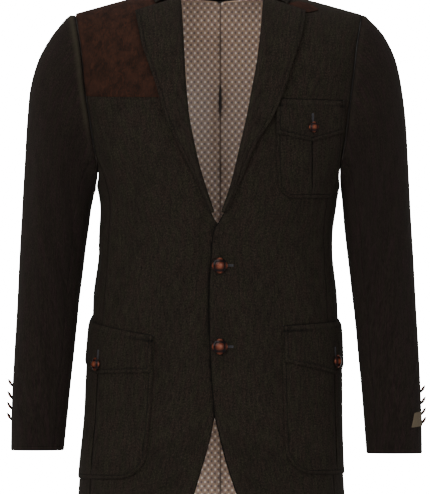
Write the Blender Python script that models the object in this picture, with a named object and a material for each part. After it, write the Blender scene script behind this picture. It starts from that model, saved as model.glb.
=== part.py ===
"""A man's two-button tweed shooting jacket, filled out as if worn, with open neck, cuffs and hem.

The body is one skin: sections around the body, one for each row of the BODY table, read between the rows
along a smooth curve. Every body piece is a stretch of that skin with a wall's thickness, and what is sewn
on it is the same skin moved out. The sleeves are rings along the arm that start on the armhole's edge.
X points to the wearer's left, the front faces -Y, and Z = 0 is the level of the neck points.
"""

import math

import bmesh
import bpy
import numpy as np
from mathutils import Quaternion, Vector

MM = 0.001                   # all sizes below are in millimetres
RIGHT, LEFT = -1, 1          # the wearer's sides, as signs of X

# cloth and seams
TWEED = 2.0                  # wall of the tweed with its canvas
LINING = 1.0
PATCH_SUEDE = 1.2
POCKET_CLOTH = 1.5
SEAM = 0.3                   # gap between pieces that are sewn edge to edge
LINING_GAP = 0.9
STACK = 0.6                  # gap between a panel and what lies on it
ARMHOLE_GAP = 0.6

# cut of the body
SEAM_ANGLE = 66.0            # front seam and armhole front edge, in degrees round from the centre front
HEM = -800.0
UNDERARM_TOP = -240.0        # where the armhole leaves the seams
SETTLED = -352.0             # rows of the side panel are level from here down
UNDERARM_DIP = 56.0          # how much lower the armhole reaches at the side
SHOULDER_SLOPE = 0.277
NECK_HALF = 73.0             # from the centre to the neck point
SHOULDER_FADE = 300.0        # the slope of the sections fades out over this height
SECTION_SQUARE = 0.8         # 1 gives an ellipse, less gives a flatter front and back
FIRST_ROW = 0.05             # just off the ridge of the shoulder seam
SHOULDER_ROUND = 12.0        # rounding where the slope starts beside the neck
RIGHT_UNDERLAP = 3.2         # how far the right front dips under the left
UNDERLAP_X = (-36.0, -19.0)  # where it starts to dip and where it is down
UNDERLAP_LEVEL = (-336.0, -351.0)
SIDE_RADIUS = 127.0          # from the body's middle to the side seams; turns a seam's gap into an angle
ARM_RADIUS = 52.0            # the same for the sleeves


class Table:
    """Rows with named columns, read at fractional row numbers along a Catmull-Rom curve."""

    def __init__(self, names, rows):
        self.columns = dict(zip(names.split(), np.array(rows, dtype=float).T))
        self.last = len(rows) - 1

    def at(self, name, row):
        values = self.columns[name]
        ends = np.concatenate([[2 * values[0] - values[1]], values, [2 * values[-1] - values[-2]]])
        row = np.clip(row, 0, self.last)
        first = np.minimum(np.floor(row).astype(int), self.last - 1)
        t = row - first
        p0, p1, p2, p3 = (ends[first + k] for k in range(4))
        return p1 + 0.5 * t * (p2 - p0 + t * (2 * p0 - 5 * p1 + 4 * p2 - p3 + t * (3 * (p1 - p2) + p3 - p0)))

    def row_of(self, name, value):
        rows = np.linspace(0, self.last, 40 * self.last + 1)
        values = self.at(name, rows)
        order = np.argsort(values)
        return np.interp(value, values[order], rows[order])


# level: height of the section at the neck; right, left: half widths; front, back: depths from the shoulder seam
BODY = Table("level right left front back", [
    (0, 236.5, 235, 0, 0),
    (-4, 235.5, 234, 27, 28),
    (-14, 233.5, 232.5, 50, 51),
    (-32, 231, 230, 73, 75),
    (-58, 227, 226, 93, 96),
    (-95, 223, 222, 110, 113),
    (-140, 219, 217, 118, 122),
    (-190, 211.5, 211, 122, 124),
    (-240, 204, 204, 123, 122),
    (-268, 194, 194, 122, 119),
    (-296, 184, 182, 120, 115),
    (-330, 178.5, 176, 116, 108),
    (-372, 181, 171, 113, 101),
    (-420, 183.5, 173.5, 111, 98),
    (-470, 188.5, 177.5, 111, 99),
    (-520, 192.5, 180, 112, 104),
    (-580, 196.5, 181, 114, 112),
    (-640, 200, 182, 116, 118),
    (-700, 206.5, 185, 118, 122),
    (-750, 211, 188.5, 119, 124),
    (-800, 213, 190, 120, 125),
])

# the fronts' inner edges, as X: the roll line down to the break, then the button edge and the cutaway
EDGE = Table("level right left", [
    (0, -73, 76),
    (-5, -68, 73),
    (-18, -61, 70),
    (-50, -59, 68),
    (-84, -57, 64.5),
    (-115, -55.5, 60.5),
    (-147, -53.5, 54.5),
    (-193, -49, 46),
    (-232, -41.5, 37),
    (-271, -32.5, 28),
    (-303, -22.5, 19.5),
    (-335, -12, 8),
    (-350, -5, 0),
    (-364, 8, -8),
    (-393, 15.5, -12),
    (-453, 16.5, -15),
    (-513, 16.5, -15),
    (-573, 13, -12.5),
    (-610, 4, -9.5),
    (-640, -6, -7),
    (-670, -12, 0),
    (-700, -20, 7.5),
    (-730, -29, 16.5),
    (-759, -38, 27),
    (-778, -48, 37),
    (-790, -58, 48),
    (-797, -70, 61),
    (-800, -88, 80),
])

# the lapels from the gorge down to the break: heights and X of the roll line and of the outer edge
LAPEL = Table("roll_level edge_level roll_right edge_right roll_left edge_left lift", [
    (-21, -39, -61, -124, 70, 127.5, 5.2),
    (-50, -62, -59, -119, 68, 124.5, 5.2),
    (-84, -87, -57, -114, 64.5, 118, 5.2),
    (-115, -115, -55.5, -104, 60.5, 108, 5.2),
    (-147, -147, -53.5, -93, 54.5, 98.5, 5.2),
    (-193, -193, -49, -79.5, 46, 80, 5.2),
    (-232, -232, -41.5, -63, 37, 56, 4.6),
    (-271, -271, -32.5, -44, 28, 39.5, 2.6),
    (-303, -303, -22.5, -28.5, 19.5, 26.5, 1.3),
    (-337, -337, -11.3, -15, 7.2, 11, 0.6),
])
# across a lapel: distance from the roll line (below zero is past the front's edge, above one a share of the
# width), and the height of the cloth's middle over the front; the last column says how much of the lift it takes
LAPEL_ROLL = [
    (9.0, -4.2, 0.0),
    (2.0, -4.4, 0.0),
    (-2.8, -2.6, 0.0),
    (-3.8, 0.4, 0.2),
    (-1.6, 2.2, 0.8),
    (3.0, 2.2, 1.1),
]
LAPEL_FLAT = [(0.3, 1.15), (0.55, 1.1), (0.8, 1.05), (1.0, 1.0)]   # share of the width, share of the lift

# the collar's half from its front end to the centre back: fold line, and the plan of the leaf's edge
COLLAR_CENTRE = 3.5
COLLAR = Table("fold_x fold_y fold_z leaf_x leaf_y", [
    (61, -55, -9, 97.5, -58),
    (62, -34, 7, 104, -31),
    (63, -8, 21, 100, 6),
    (61, 16, 30, 91, 32),
    (53, 40, 36, 73, 58),
    (38, 56, 40, 50, 75),
    (20, 65, 42, 26, 83),
    (0, 68, 43, 0, 85),
])
COLLAR_LIFT = 5.4            # leaf's middle over the shoulder, clear of the lapel's roll
STAND_INWARDS, STAND_RISE = 2.8, 0.8    # the stand's lower edge from the body's neck edge
NECK_MIDDLE = (COLLAR_CENTRE, 5.0)
GORGE_LEVEL = -19.0          # the collar's front ends, where the lapels start
# across the collar from the stand's edge: share of the way stand to fold, then fold to leaf, and the shifts
# outwards and up; the last column is a share of the leaf's fall
COLLAR_PROFILE = [
    (0.0, 0.0, 0.0, 0.0, 0.0),
    (0.55, 0.0, -1.0, 0.0, 0.0),
    (1.0, 0.0, -1.5, -5.0, 0.0),
    (1.0, 0.0, 1.5, 0.8, 0.0),
    (1.0, 0.0, 6.0, 0.0, -0.12),
    (1.0, 0.45, 3.5, 1.5, 0.0),
    (1.0, 0.75, 2.0, 0.8, 0.0),
    (1.0, 1.0, 0.0, 0.0, 0.0),
]
DEEPEST_FRONT, DEEPEST_BACK = 118.0, 121.0   # plan depths past which no shoulder point is sought

# the sleeves from the armhole to the cuff: outer and inner edges seen from the front, and the depth in Y
SLEEVE = Table("out_level out_right out_left in_level in_right in_left front back", [
    (-41, 216, 214.5, -294, 184, 182.5, -62, 62),
    (-46, 228, 222, -297, 184.6, 183, -66, 64),
    (-60, 241, 238, -303, 186, 183.4, -68, 66),
    (-78, 254.5, 251.5, -315, 188, 184, -69, 67),
    (-108, 271, 265.5, -333, 191.5, 185.5, -69, 67),
    (-150, 283, 274.5, -357, 194.5, 187.5, -68, 66),
    (-200, 288, 280.5, -388, 199, 191, -66, 64),
    (-260, 291.5, 284, -425, 203.5, 195.5, -64, 61),
    (-330, 295.5, 287.5, -465, 208.5, 200, -62, 57),
    (-405, 299.5, 292, -505, 212.5, 204.5, -62, 51),
    (-480, 303, 296, -545, 216.5, 208, -64, 43),
    (-550, 307, 300, -590, 221.5, 212.5, -68, 34),
    (-620, 310.5, 303, -640, 226.5, 216.5, -71, 26),
    (-693, 312, 304.5, -693, 232, 220.5, -73, 20),
])
CUFF_DROP = {RIGHT: 0.0, LEFT: 4.5}     # the left sleeve hangs a little lower
FRONT_SEAM = (128.0, 128.0)  # sleeve seams at the armhole and at the cuff, in degrees from the outer edge
HIND_SEAM = (-80.0, -24.0)

# pockets: width, heights and corners; the hip ones wrap round the side
HIP_WIDTH, HIP_CORNER = 184.0, 42.0
BREAST_WIDTH, BREAST_CORNER = 113.0, 25.0
POCKET_X = {RIGHT: -150.0, LEFT: 150.0}     # their heights below are those at this X
PLEAT_HALF, PLEAT_DEPTH = 3.5, 0.9
# where each pocket's pleat lies, as an angle or as X, its top and bottom there, how its top slopes, and how its
# flap's sides stand in and its depths; rows counts the rows of points over its straight part
POCKETS = {
    "hip_right": dict(side=RIGHT, angle=64.8, top=-505.0, bottom=-735.0, slope=0.17, width=HIP_WIDTH,
                      corner=HIP_CORNER, swell=3.4, inset=3.0, rows=4, flap_side=56.0, flap_point=73.0, button=-564.0),
    "hip_left": dict(side=LEFT, angle=69.0, top=-500.0, bottom=-728.0, slope=0.06, width=HIP_WIDTH,
                     corner=HIP_CORNER, swell=3.4, inset=3.0, rows=4, flap_side=55.0, flap_point=79.0, button=-559.5),
    "breast": dict(side=LEFT, pleat_x=138.0, top=-169.0, bottom=-316.0, slope=0.055, width=BREAST_WIDTH,
                   corner=BREAST_CORNER, swell=1.2, inset=0.5, rows=6, flap_side=50.0, flap_point=62.5, button=-210.0),
}

# buttons
FRONT_BUTTON = (23.5, 10.0)  # width and height
FLAP_BUTTON = {"hip_right": (19.0, 9.0), "hip_left": (19.0, 9.0), "breast": (16.0, 8.0)}
CUFF_BUTTON = (14.0, 5.0)
BUTTON_BACK, BUTTON_BACK_WIDTH = 0.8, 0.86   # their backs are flatter and narrower by these shares
BUTTON_CLEAR = 0.5
FRONT_BUTTONS = {"front_button_upper": -416.0, "front_button_lower": -537.0}
BUTTON_X = 1.0
CUFF_BUTTON_LEVELS = {RIGHT: (-592.0, -610.0, -626.0, -642.0), LEFT: (-597.0, -614.0, -630.0, -644.0)}
CUFF_BUTTON_HEIGHT = 3.2     # their middles over the sleeve
CUFF_BUTTON_ANGLE = -4.0     # just behind the sleeve's outer edge
CUFF_BUTTON_TILT = 32.0

MATERIALS = {  # colour as linear RGB, roughness
    "tweed": ((0.0150, 0.0125, 0.0091), 0.95),
    "suede": ((0.0296, 0.0130, 0.0080), 0.92),
    "lining": ((0.136, 0.098, 0.080), 0.55),
    "leather": ((0.060, 0.016, 0.008), 0.35),
    "label": ((0.012, 0.011, 0.010), 0.80),
}


# ---------------------------------------------------------------- the skin

def ramp(value, low, high):
    """0 at low, 1 at high and past it, smooth between."""
    t = np.clip((value - low) / (high - low), 0, 1)
    return t * t * (3 - 2 * t)


def slope_drop(x, level):
    """How far the shoulder's slope lowers a section at X, fading out down the body."""
    past = np.abs(x) - NECK_HALF
    drop = SHOULDER_SLOPE * (past + np.sqrt(past ** 2 + SHOULDER_ROUND ** 2)) / 2
    return drop * np.clip(1 + level / SHOULDER_FADE, 0, 1) ** 1.5


def face(angle, row):
    """Skin point at an angle (radians from the centre front, wearer's left positive) and a BODY row."""
    sine, cosine = np.sin(angle), np.cos(angle)
    half = np.where(angle > 0, BODY.at("left", row), BODY.at("right", row))
    depth = np.where(cosine > 0, -BODY.at("front", row), BODY.at("back", row))
    x = half * sine
    level = BODY.at("level", row)
    return np.stack([x, depth * np.abs(cosine) ** SECTION_SQUARE, level - slope_drop(x, level)], axis=-1)


def skin(angle, row, offset=0.0):
    """The skin moved out along its normal."""
    angle, row = np.broadcast_arrays(np.asarray(angle, float), np.asarray(row, float))
    step = 1e-3
    across = face(angle + step, row) - face(angle - step, row)
    down = face(angle, row + step) - face(angle, row - step)
    normal = np.cross(down, across)
    normal /= np.linalg.norm(normal, axis=-1, keepdims=True)
    return face(angle, row) + normal * np.asarray(offset)[..., None]


def row_at(x, z):
    """BODY row of the skin at a front-view position."""
    level = np.asarray(z, float)
    for _ in range(20):
        level = z + slope_drop(x, level)
    return BODY.row_of("level", level)


def angle_at(x, row, back=False):
    """Angle of the skin at X on a row, on the front or the back."""
    half = np.where(np.asarray(x) > 0, BODY.at("left", row), BODY.at("right", row))
    angle = np.arcsin(np.clip(x / half, -1, 1))
    return np.where(np.asarray(x) > 0, math.pi, -math.pi) - angle if back else angle


def around(row, start, distance):
    """Angle reached from a start angle by a distance along one section."""
    angles = np.linspace(start - 1.4, start + 1.4, 401)
    points = face(angles, np.full_like(angles, row))
    steps = np.linalg.norm(np.diff(points, axis=0), axis=-1)
    length = np.concatenate([[0], np.cumsum(steps)])
    return np.interp(distance, length - length[200], angles)


# ---------------------------------------------------------------- meshes

def add_object(name, material, mesh):
    made = bpy.data.objects.new(name, mesh)
    mesh.materials.append(materials[material])
    jacket.objects.link(made)
    return made


def wall(name, material, outer, inner):
    """A sheet of cloth between two grids of points."""
    rows, columns = outer.shape[:2]
    count = rows * columns
    number = np.arange(count).reshape(rows, columns)

    def quads(a, b, c, d):
        return np.stack([a, b, c, d], axis=-1).reshape(-1, 4)

    top = quads(number[:-1, :-1], number[1:, :-1], number[1:, 1:], number[:-1, 1:])
    faces = [top, top[:, ::-1] + count]
    for rim in (number[0], number[-1][::-1], number[:, -1], number[:, 0][::-1]):
        faces.append(quads(rim[:-1], rim[1:], rim[1:] + count, rim[:-1] + count))
    points = np.concatenate([outer.reshape(-1, 3), inner.reshape(-1, 3)]) * MM
    mesh = bpy.data.meshes.new(name)
    mesh.from_pydata(points.tolist(), [], np.concatenate(faces).tolist())
    shape = bmesh.new()
    shape.from_mesh(mesh)
    bmesh.ops.triangulate(shape, faces=shape.faces)
    bmesh.ops.recalc_face_normals(shape, faces=shape.faces)
    shape.to_mesh(mesh)
    shape.free()
    mesh.shade_smooth()
    mesh.set_sharp_from_angle(angle=math.radians(40))
    return add_object(name, material, mesh)


def skin_wall(name, material, angle, row, outer=0.0, thickness=TWEED):
    """A piece of the skin: its outer face at an offset, its wall inwards."""
    outer = np.broadcast_to(np.asarray(outer, float), np.shape(angle))
    return wall(name, material, skin(angle, row, outer), skin(angle, row, outer - thickness))


def thicken(name, material, middle, thickness):
    """A wall about a grid of its middle points."""
    normal = np.cross(np.gradient(middle, axis=0), np.gradient(middle, axis=1))
    normal /= np.linalg.norm(normal, axis=-1, keepdims=True)
    half = normal * thickness / 2
    return wall(name, material, middle + half, middle - half)


# ---------------------------------------------------------------- body pieces

def seam_angle(side, towards):
    """The seams' angle on one side, moved off the seam by half its gap towards the front or the back."""
    return side * math.radians(SEAM_ANGLE) + side * towards * SEAM / 2 / SIDE_RADIUS


# heights of the rows of points below the underarm, shared where pieces meet at the side seams
SEAM_LEVELS = (-254, -268, -282, -296, -312, -335, -352, -366, -393, -430, -475, -520, -565, -610)
FRONT_HEM_LEVELS = (-640, -670, -700, -730, -759, -778, -790, -797, -800)
BACK_HEM_LEVELS = (-655, -700, -750, -800)


def ladder(levels):
    """BODY rows of a piece that reaches the shoulder: close together above the underarm."""
    upper = np.arange(0, BODY.row_of("level", UNDERARM_TOP) + 0.01, 0.5)
    upper[0] = FIRST_ROW
    return np.concatenate([upper, BODY.row_of("level", np.array(levels, float))])


def front(name, side):
    """One front: from its inner edge round to the side seam and the armhole."""
    row = ladder(SEAM_LEVELS + FRONT_HEM_LEVELS)
    column = "right" if side == RIGHT else "left"
    edge_x = EDGE.at(column, EDGE.row_of("level", BODY.at("level", row)))
    inner = angle_at(edge_x, row)
    share = np.linspace(0, 1, 9) ** 1.15
    angle = inner[:, None] + (seam_angle(side, -1) - inner)[:, None] * share
    rows = np.broadcast_to(row[:, None], angle.shape)
    offset = np.zeros_like(angle)
    if side == RIGHT:
        x = face(angle, rows)[..., 0]
        under = ramp(x, *UNDERLAP_X) * ramp(BODY.at("level", row), *UNDERLAP_LEVEL)[:, None]
        offset = -RIGHT_UNDERLAP * under
    return skin_wall(name, "tweed", angle, rows, offset)


def armhole_level(angle_deg):
    """Height of the armhole's lower edge at an angle between the two seams."""
    reach = np.clip((90.0 - angle_deg) / (90.0 - SEAM_ANGLE), -1, 1)
    return UNDERARM_TOP - UNDERARM_DIP * np.sqrt(1 - reach ** 2)


def side_panel(name, side):
    """From the armhole's lower edge to the hem; the rows settle to level ones below the underarm."""
    angle_deg = 90.0 - (90.0 - SEAM_ANGLE) * np.cos(np.linspace(0, math.pi, 8))
    top = armhole_level(angle_deg)
    levels = np.array((UNDERARM_TOP,) + SEAM_LEVELS + BACK_HEM_LEVELS, float)[:, None]
    share = np.clip((levels - SETTLED) / (UNDERARM_TOP - SETTLED), 0, 1)
    row = BODY.row_of("level", np.where(share > 0, SETTLED + (top - SETTLED) * share, levels))
    angle = side * np.radians(angle_deg)
    angle[0] = seam_angle(side, 1)
    angle[-1] = side * math.pi - seam_angle(side, 1)
    return skin_wall(name, "tweed", np.broadcast_to(angle, row.shape), row)


NECK_BACK_LEVEL = -17.0      # the back's neck edge at the centre
LINING_SHORT = 12.0          # the lining ends this far above the hem
LINING_PAST_SEAM = 0.03      # the lining's side edge reaches this angle past the seam
NECK_BACK = Table("level half", [(0, 75), (-3.4, 70), (-8.2, 56), (-13.6, 34), (NECK_BACK_LEVEL, 0.2)])
LINING_TOP_ROW, LINING_UPPER_ROWS = 1.0, 7


def back_lattice(side, row):
    """Angles and rows of one half of the back, from the centre seam to the side seam and the armhole."""
    neck = NECK_BACK.at("half", NECK_BACK.row_of("level", BODY.at("level", row)))
    centre = angle_at(side * np.maximum(neck, SEAM / 2), row, back=True)
    end = side * math.pi - seam_angle(side, -1)
    angle = centre[:, None] + (end - centre)[:, None] * np.linspace(0, 1, 7)
    return angle, np.broadcast_to(row[:, None], angle.shape)


def back(name, side):
    neck_row = BODY.row_of("level", [NECK_BACK_LEVEL])
    angle, row = back_lattice(side, np.sort(np.concatenate([ladder(SEAM_LEVELS + BACK_HEM_LEVELS), neck_row])))
    return skin_wall(name, "tweed", angle, row)


def back_lining(name, side):
    """The back's lining, just inside it and a little short of the hem."""
    upper = LINING_TOP_ROW + np.arange(LINING_UPPER_ROWS)
    levels = (NECK_BACK_LEVEL,) + SEAM_LEVELS + BACK_HEM_LEVELS[:-1] + (HEM + LINING_SHORT,)
    row = np.sort(np.concatenate([upper, BODY.row_of("level", np.array(levels, float))]))
    angle, row = back_lattice(side, row)
    angle[:, -1] += side * LINING_PAST_SEAM
    return skin_wall(name, "lining", angle, row, -(TWEED + LINING_GAP), LINING)


# ---------------------------------------------------------------- lapels, collar, patch and tab

def front_point(x, z, offset):
    row = row_at(x, z)
    return skin(angle_at(x, row), row, offset)


def lapel(name, side):
    """The lapel rolls round the front's edge and lies back over it to its outer edge."""
    column = "right" if side == RIGHT else "left"
    rows = np.linspace(0, LAPEL.last, 17)
    roll_x, edge_x = LAPEL.at("roll_" + column, rows), LAPEL.at("edge_" + column, rows)
    roll_z, edge_z = LAPEL.at("roll_level", rows), LAPEL.at("edge_level", rows)
    lift = LAPEL.at("lift", rows)
    width = np.hypot(edge_x - roll_x, edge_z - roll_z)
    lines = []
    for distance, height, share in LAPEL_ROLL:
        reach = np.minimum(distance, 0.3 * width) / width
        lines.append((reach, height + share * lift))
    for reach, share in LAPEL_FLAT:
        lines.append((np.full_like(rows, reach), TWEED / 2 + share * lift))
    grid = []
    for reach, height in lines:
        x, z = roll_x + (edge_x - roll_x) * reach, roll_z + (edge_z - roll_z) * reach
        grid.append(front_point(x, z, height))
    return thicken(name, "tweed", np.stack(grid, axis=1), TWEED)


def over(x, y):
    """BODY angle and row of the skin above a place in plan, near the shoulders."""
    row = np.full(np.shape(x), 2.0)
    for _ in range(12):
        half = np.where(x > 0, BODY.at("left", row), BODY.at("right", row))
        sine = np.clip(x / half, -1, 1)
        depth = np.abs(y) / np.sqrt(1 - sine ** 2) ** SECTION_SQUARE
        row = np.where(y < 0, BODY.row_of("front", np.minimum(depth, DEEPEST_FRONT)),
                       BODY.row_of("back", np.minimum(depth, DEEPEST_BACK)))
    angle = np.arcsin(sine)
    return np.where(y < 0, angle, np.where(x > 0, math.pi, -math.pi) - angle), row


def neckline(share):
    """The body's neck edge from the right gorge round the back to the left gorge, share 0 to 1."""
    points = []
    for side in (RIGHT, LEFT):
        column = "right" if side == RIGHT else "left"
        levels = np.linspace(GORGE_LEVEL, 0, 12)
        front_row = np.maximum(BODY.row_of("level", levels), FIRST_ROW)
        ahead = face(angle_at(EDGE.at(column, EDGE.row_of("level", levels)), front_row), front_row)
        levels = np.linspace(0, NECK_BACK_LEVEL, 20)
        back_row = np.maximum(BODY.row_of("level", levels), FIRST_ROW)
        half = side * NECK_BACK.at("half", NECK_BACK.row_of("level", levels))
        behind = face(angle_at(half, back_row, back=True), back_row)
        run = np.concatenate([ahead, behind])
        points.append(run if side == RIGHT else run[::-1])
    line = np.concatenate(points)
    length = np.concatenate([[0], np.cumsum(np.linalg.norm(np.diff(line, axis=0), axis=-1))])
    return np.stack([np.interp(share * length[-1], length, line[:, k]) for k in range(3)], axis=-1)


def collar(name):
    """The stand rises from the neck edge to the fold, and the leaf falls outside it onto the shoulders."""
    across = np.linspace(-1, 1, 19)
    side = np.where(across < 0, -1.0, 1.0)
    rows = (1 - np.abs(across)) * COLLAR.last
    stand = neckline((across + 1) / 2)
    inwards = np.array([*NECK_MIDDLE, 0.0]) - stand
    inwards[:, 2] = 0
    stand = stand + STAND_INWARDS * inwards / np.linalg.norm(inwards, axis=-1, keepdims=True)
    stand[:, 2] += STAND_RISE
    fold = np.stack([COLLAR_CENTRE + side * COLLAR.at("fold_x", rows), COLLAR.at("fold_y", rows),
                     COLLAR.at("fold_z", rows)], axis=-1)
    leaf_x = COLLAR_CENTRE + side * COLLAR.at("leaf_x", rows)
    leaf = skin(*over(leaf_x, COLLAR.at("leaf_y", rows)), COLLAR_LIFT)
    outward = leaf - fold
    outward[:, 2] = 0
    outward /= np.linalg.norm(outward, axis=-1, keepdims=True)
    rise = np.array([0, 0, 1.0])
    fall = (fold - leaf)[:, 2:]
    profile = [stand + up * (fold - stand) + down * (leaf - fold) + out * outward + (lift + share * fall) * rise
               for up, down, out, lift, share in COLLAR_PROFILE]
    return thicken(name, "tweed", np.stack(profile, axis=1)[::-1], TWEED)


PATCH_BOTTOM = (-163.0, -165.5)    # height of the patch's lower edge at the armhole and at the lapel
PATCH_UNDER_LAPEL = 26.0           # how far its edge lies past the roll line
PATCH_INSET = 0.012                # angle kept clear of the armhole seam
PATCH_ARM_X = -199.0               # its lower corner at the armhole


def gun_patch(name):
    """Suede over the wearer's right shoulder, from the armhole to under the lapel."""
    down = np.linspace(0, 1, 13)
    across = np.linspace(0, 1, 8)
    lapel_x = EDGE.at("right", EDGE.row_of("level", PATCH_BOTTOM[1])) - PATCH_UNDER_LAPEL
    lower_x = np.array([PATCH_ARM_X, lapel_x])
    lower_row = row_at(lower_x, np.array(PATCH_BOTTOM))
    outer_angle = -math.radians(SEAM_ANGLE) + PATCH_INSET
    grid_angle, grid_row = [], []
    for share in down:
        row = FIRST_ROW + (lower_row - FIRST_ROW) * share
        edge_x = EDGE.at("right", EDGE.row_of("level", BODY.at("level", row[1]))) - PATCH_UNDER_LAPEL
        inner_angle = angle_at(edge_x, row[1])
        grid_angle.append(outer_angle + (inner_angle - outer_angle) * across)
        grid_row.append(row[0] + (row[1] - row[0]) * across)
    return skin_wall(name, "suede", np.array(grid_angle), np.array(grid_row), STACK + PATCH_SUEDE, PATCH_SUEDE)


TAB = dict(tip=(101.0, -26.0), end=(149.0, -34.5), half=7.5)   # X and Z of the tab's two points


def throat_tab(name):
    """A suede lens in the notch of the left lapel, under the collar."""
    along = np.linspace(0.02, 0.98, 8)
    across = np.linspace(-1, 1, 4)
    x = TAB["tip"][0] + (TAB["end"][0] - TAB["tip"][0]) * along
    z = TAB["tip"][1] + (TAB["end"][1] - TAB["tip"][1]) * along
    half = TAB["half"] * np.sin(np.pi * along)
    grid_x = np.broadcast_to(x[:, None], (8, 4))
    grid_z = z[:, None] + half[:, None] * across
    row = row_at(grid_x, grid_z)
    return skin_wall(name, "suede", angle_at(grid_x, row), row, STACK + PATCH_SUEDE, PATCH_SUEDE)


# ---------------------------------------------------------------- sleeves

ARMHOLE_EASE = 0.045         # draws the ring's points towards the shoulder
LINE_POINTS = 60
SETTLE_ROWS = 4.5            # the sleeve leaves the armhole's shape over this many SLEEVE rows


def armhole_loop(side, turn):
    """The armhole's edge, turn from 0 at the shoulder through pi at the underarm; negative is the back."""
    angle_deg = 90.0 - (90.0 - SEAM_ANGLE) * np.cos(np.linspace(0, math.pi / 2, 20))[1:]
    lower = BODY.row_of("level", armhole_level(angle_deg))
    upper = np.linspace(FIRST_ROW, BODY.row_of("level", UNDERARM_TOP), LINE_POINTS)
    angle = np.concatenate([np.full(LINE_POINTS, SEAM_ANGLE), angle_deg])
    row = np.concatenate([upper, lower])
    ahead = face(side * np.radians(angle), row)
    behind = face(side * np.radians(180 - angle), row)
    found = np.empty(np.shape(turn) + (3,))
    for line, mask in ((ahead, turn >= 0), (behind, turn < 0)):
        length = np.concatenate([[0], np.cumsum(np.linalg.norm(np.diff(line, axis=0), axis=-1))])
        share = np.abs(turn[mask]) / math.pi
        share = share - ARMHOLE_EASE * np.sin(2 * math.pi * share)
        for k in range(3):
            found[mask, k] = np.interp(share * length[-1], length, line[:, k])
    return found


def ring(side, turn, row):
    """Point of a sleeve ring: turn 0 is the outer edge, pi/2 the front, pi the inner edge."""
    column = "right" if side == RIGHT else "left"
    drop = CUFF_DROP[side] * row / SLEEVE.last
    out = np.stack([side * SLEEVE.at("out_" + column, row), SLEEVE.at("out_level", row) - drop], axis=-1)
    inn = np.stack([side * SLEEVE.at("in_" + column, row), SLEEVE.at("in_level", row) - drop], axis=-1)
    middle, reach = (out + inn) / 2, (out - inn) / 2
    flat = middle + reach * np.cos(turn)[..., None]
    front_y, back_y = SLEEVE.at("front", row), SLEEVE.at("back", row)
    y = (front_y + back_y) / 2 - (back_y - front_y) / 2 * np.sin(turn)
    return np.stack([flat[..., 0], y, flat[..., 1]], axis=-1)


def sleeve_point(side, turn, row):
    turn, row = np.broadcast_arrays(np.asarray(turn, float), np.asarray(row, float))
    wrapped = (turn + math.pi) % (2 * math.pi) - math.pi
    start = armhole_loop(side, wrapped) + np.array([side * ARMHOLE_GAP, 0, 0])
    settle = (1 - ramp(row, 0, SETTLE_ROWS))[..., None]
    return ring(side, turn, row) + (start - ring(side, turn, np.zeros_like(row))) * settle


def sleeve_skin(side, turn, row, offset):
    step = 1e-3
    low, high = np.maximum(row - step, 0), np.minimum(row + step, SLEEVE.last)
    around_arm = sleeve_point(side, turn + step, row) - sleeve_point(side, turn - step, row)
    down = sleeve_point(side, turn, high) - sleeve_point(side, turn, low)
    normal = np.cross(around_arm, down) * side
    normal /= np.linalg.norm(normal, axis=-1, keepdims=True)
    return sleeve_point(side, turn, row) + normal * np.asarray(offset)[..., None]


def sleeve_rows():
    return np.concatenate([np.linspace(0, 4, 7), np.arange(5, 12), [SLEEVE.last]])


def sleeve_piece(name, side, start, end, count):
    """A stretch of the sleeve between two seams, each given at the armhole and at the cuff in degrees."""
    row = sleeve_rows()
    share = row / SLEEVE.last
    first = np.radians(start[0] + (start[1] - start[0]) * share)
    last = np.radians(end[0] + (end[1] - end[0]) * share)
    gap = SEAM / 2 / ARM_RADIUS
    first, last = first + gap, last - gap
    turn = first[:, None] + (last - first)[:, None] * np.linspace(0, 1, count)
    rows = np.broadcast_to(row[:, None], turn.shape)
    outer = sleeve_skin(side, turn, rows, np.zeros_like(turn))
    inner = sleeve_skin(side, turn, rows, np.full_like(turn, -TWEED))
    return wall(name, "tweed", outer, inner)


def sleeve(side, word):
    under_end = (HIND_SEAM[0] + 360.0, HIND_SEAM[1] + 360.0)
    sleeve_piece("top_sleeve_" + word, side, HIND_SEAM, FRONT_SEAM, 13)
    sleeve_piece("under_sleeve_" + word, side, FRONT_SEAM, under_end, 10)


# ---------------------------------------------------------------- pockets

def pleat_angle(pocket, row):
    """Angle of a pocket's pleat on a row."""
    if "pleat_x" in pocket:
        return angle_at(pocket["pleat_x"], row)
    return math.radians(pocket["angle"]) * pocket["side"]


def pocket_lattice(pocket, top, depth_at, inset, heights, corner=0.0):
    """Angles, rows and places of a patch: across from its pleat, down from its top line, which slopes.

    depth_at gives the patch's depth at a share of its half width; below, its corners are rounded."""
    half = pocket["width"] / 2 - inset
    pleat = np.array([-1.3, 0.0, 1.3]) * PLEAT_HALF
    reach = np.linspace(4 * PLEAT_HALF / half, 1, 5 if half < HIP_WIDTH / 3 else 6)
    across = np.concatenate([-reach[::-1], pleat / half, reach])
    angle, row, place = [], [], []
    for share in heights:
        above = max(corner - (1 - share) * depth_at(0.0), 0.0)
        distance = across * (half - corner + math.sqrt(corner ** 2 - above ** 2))
        depth = np.array([depth_at(abs(d) / half) for d in distance])
        level = top - pocket["slope"] * distance * (1 - share * (corner > 0)) - share * depth
        level_rows = row_at(POCKET_X[pocket["side"]], level)
        angle.append([around(r, pleat_angle(pocket, r), -pocket["side"] * d) for d, r in zip(distance, level_rows)])
        row.append(level_rows)
        place.append(np.stack([distance, share * depth], axis=-1))
    return np.array(angle), np.array(row), np.array(place)


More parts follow.
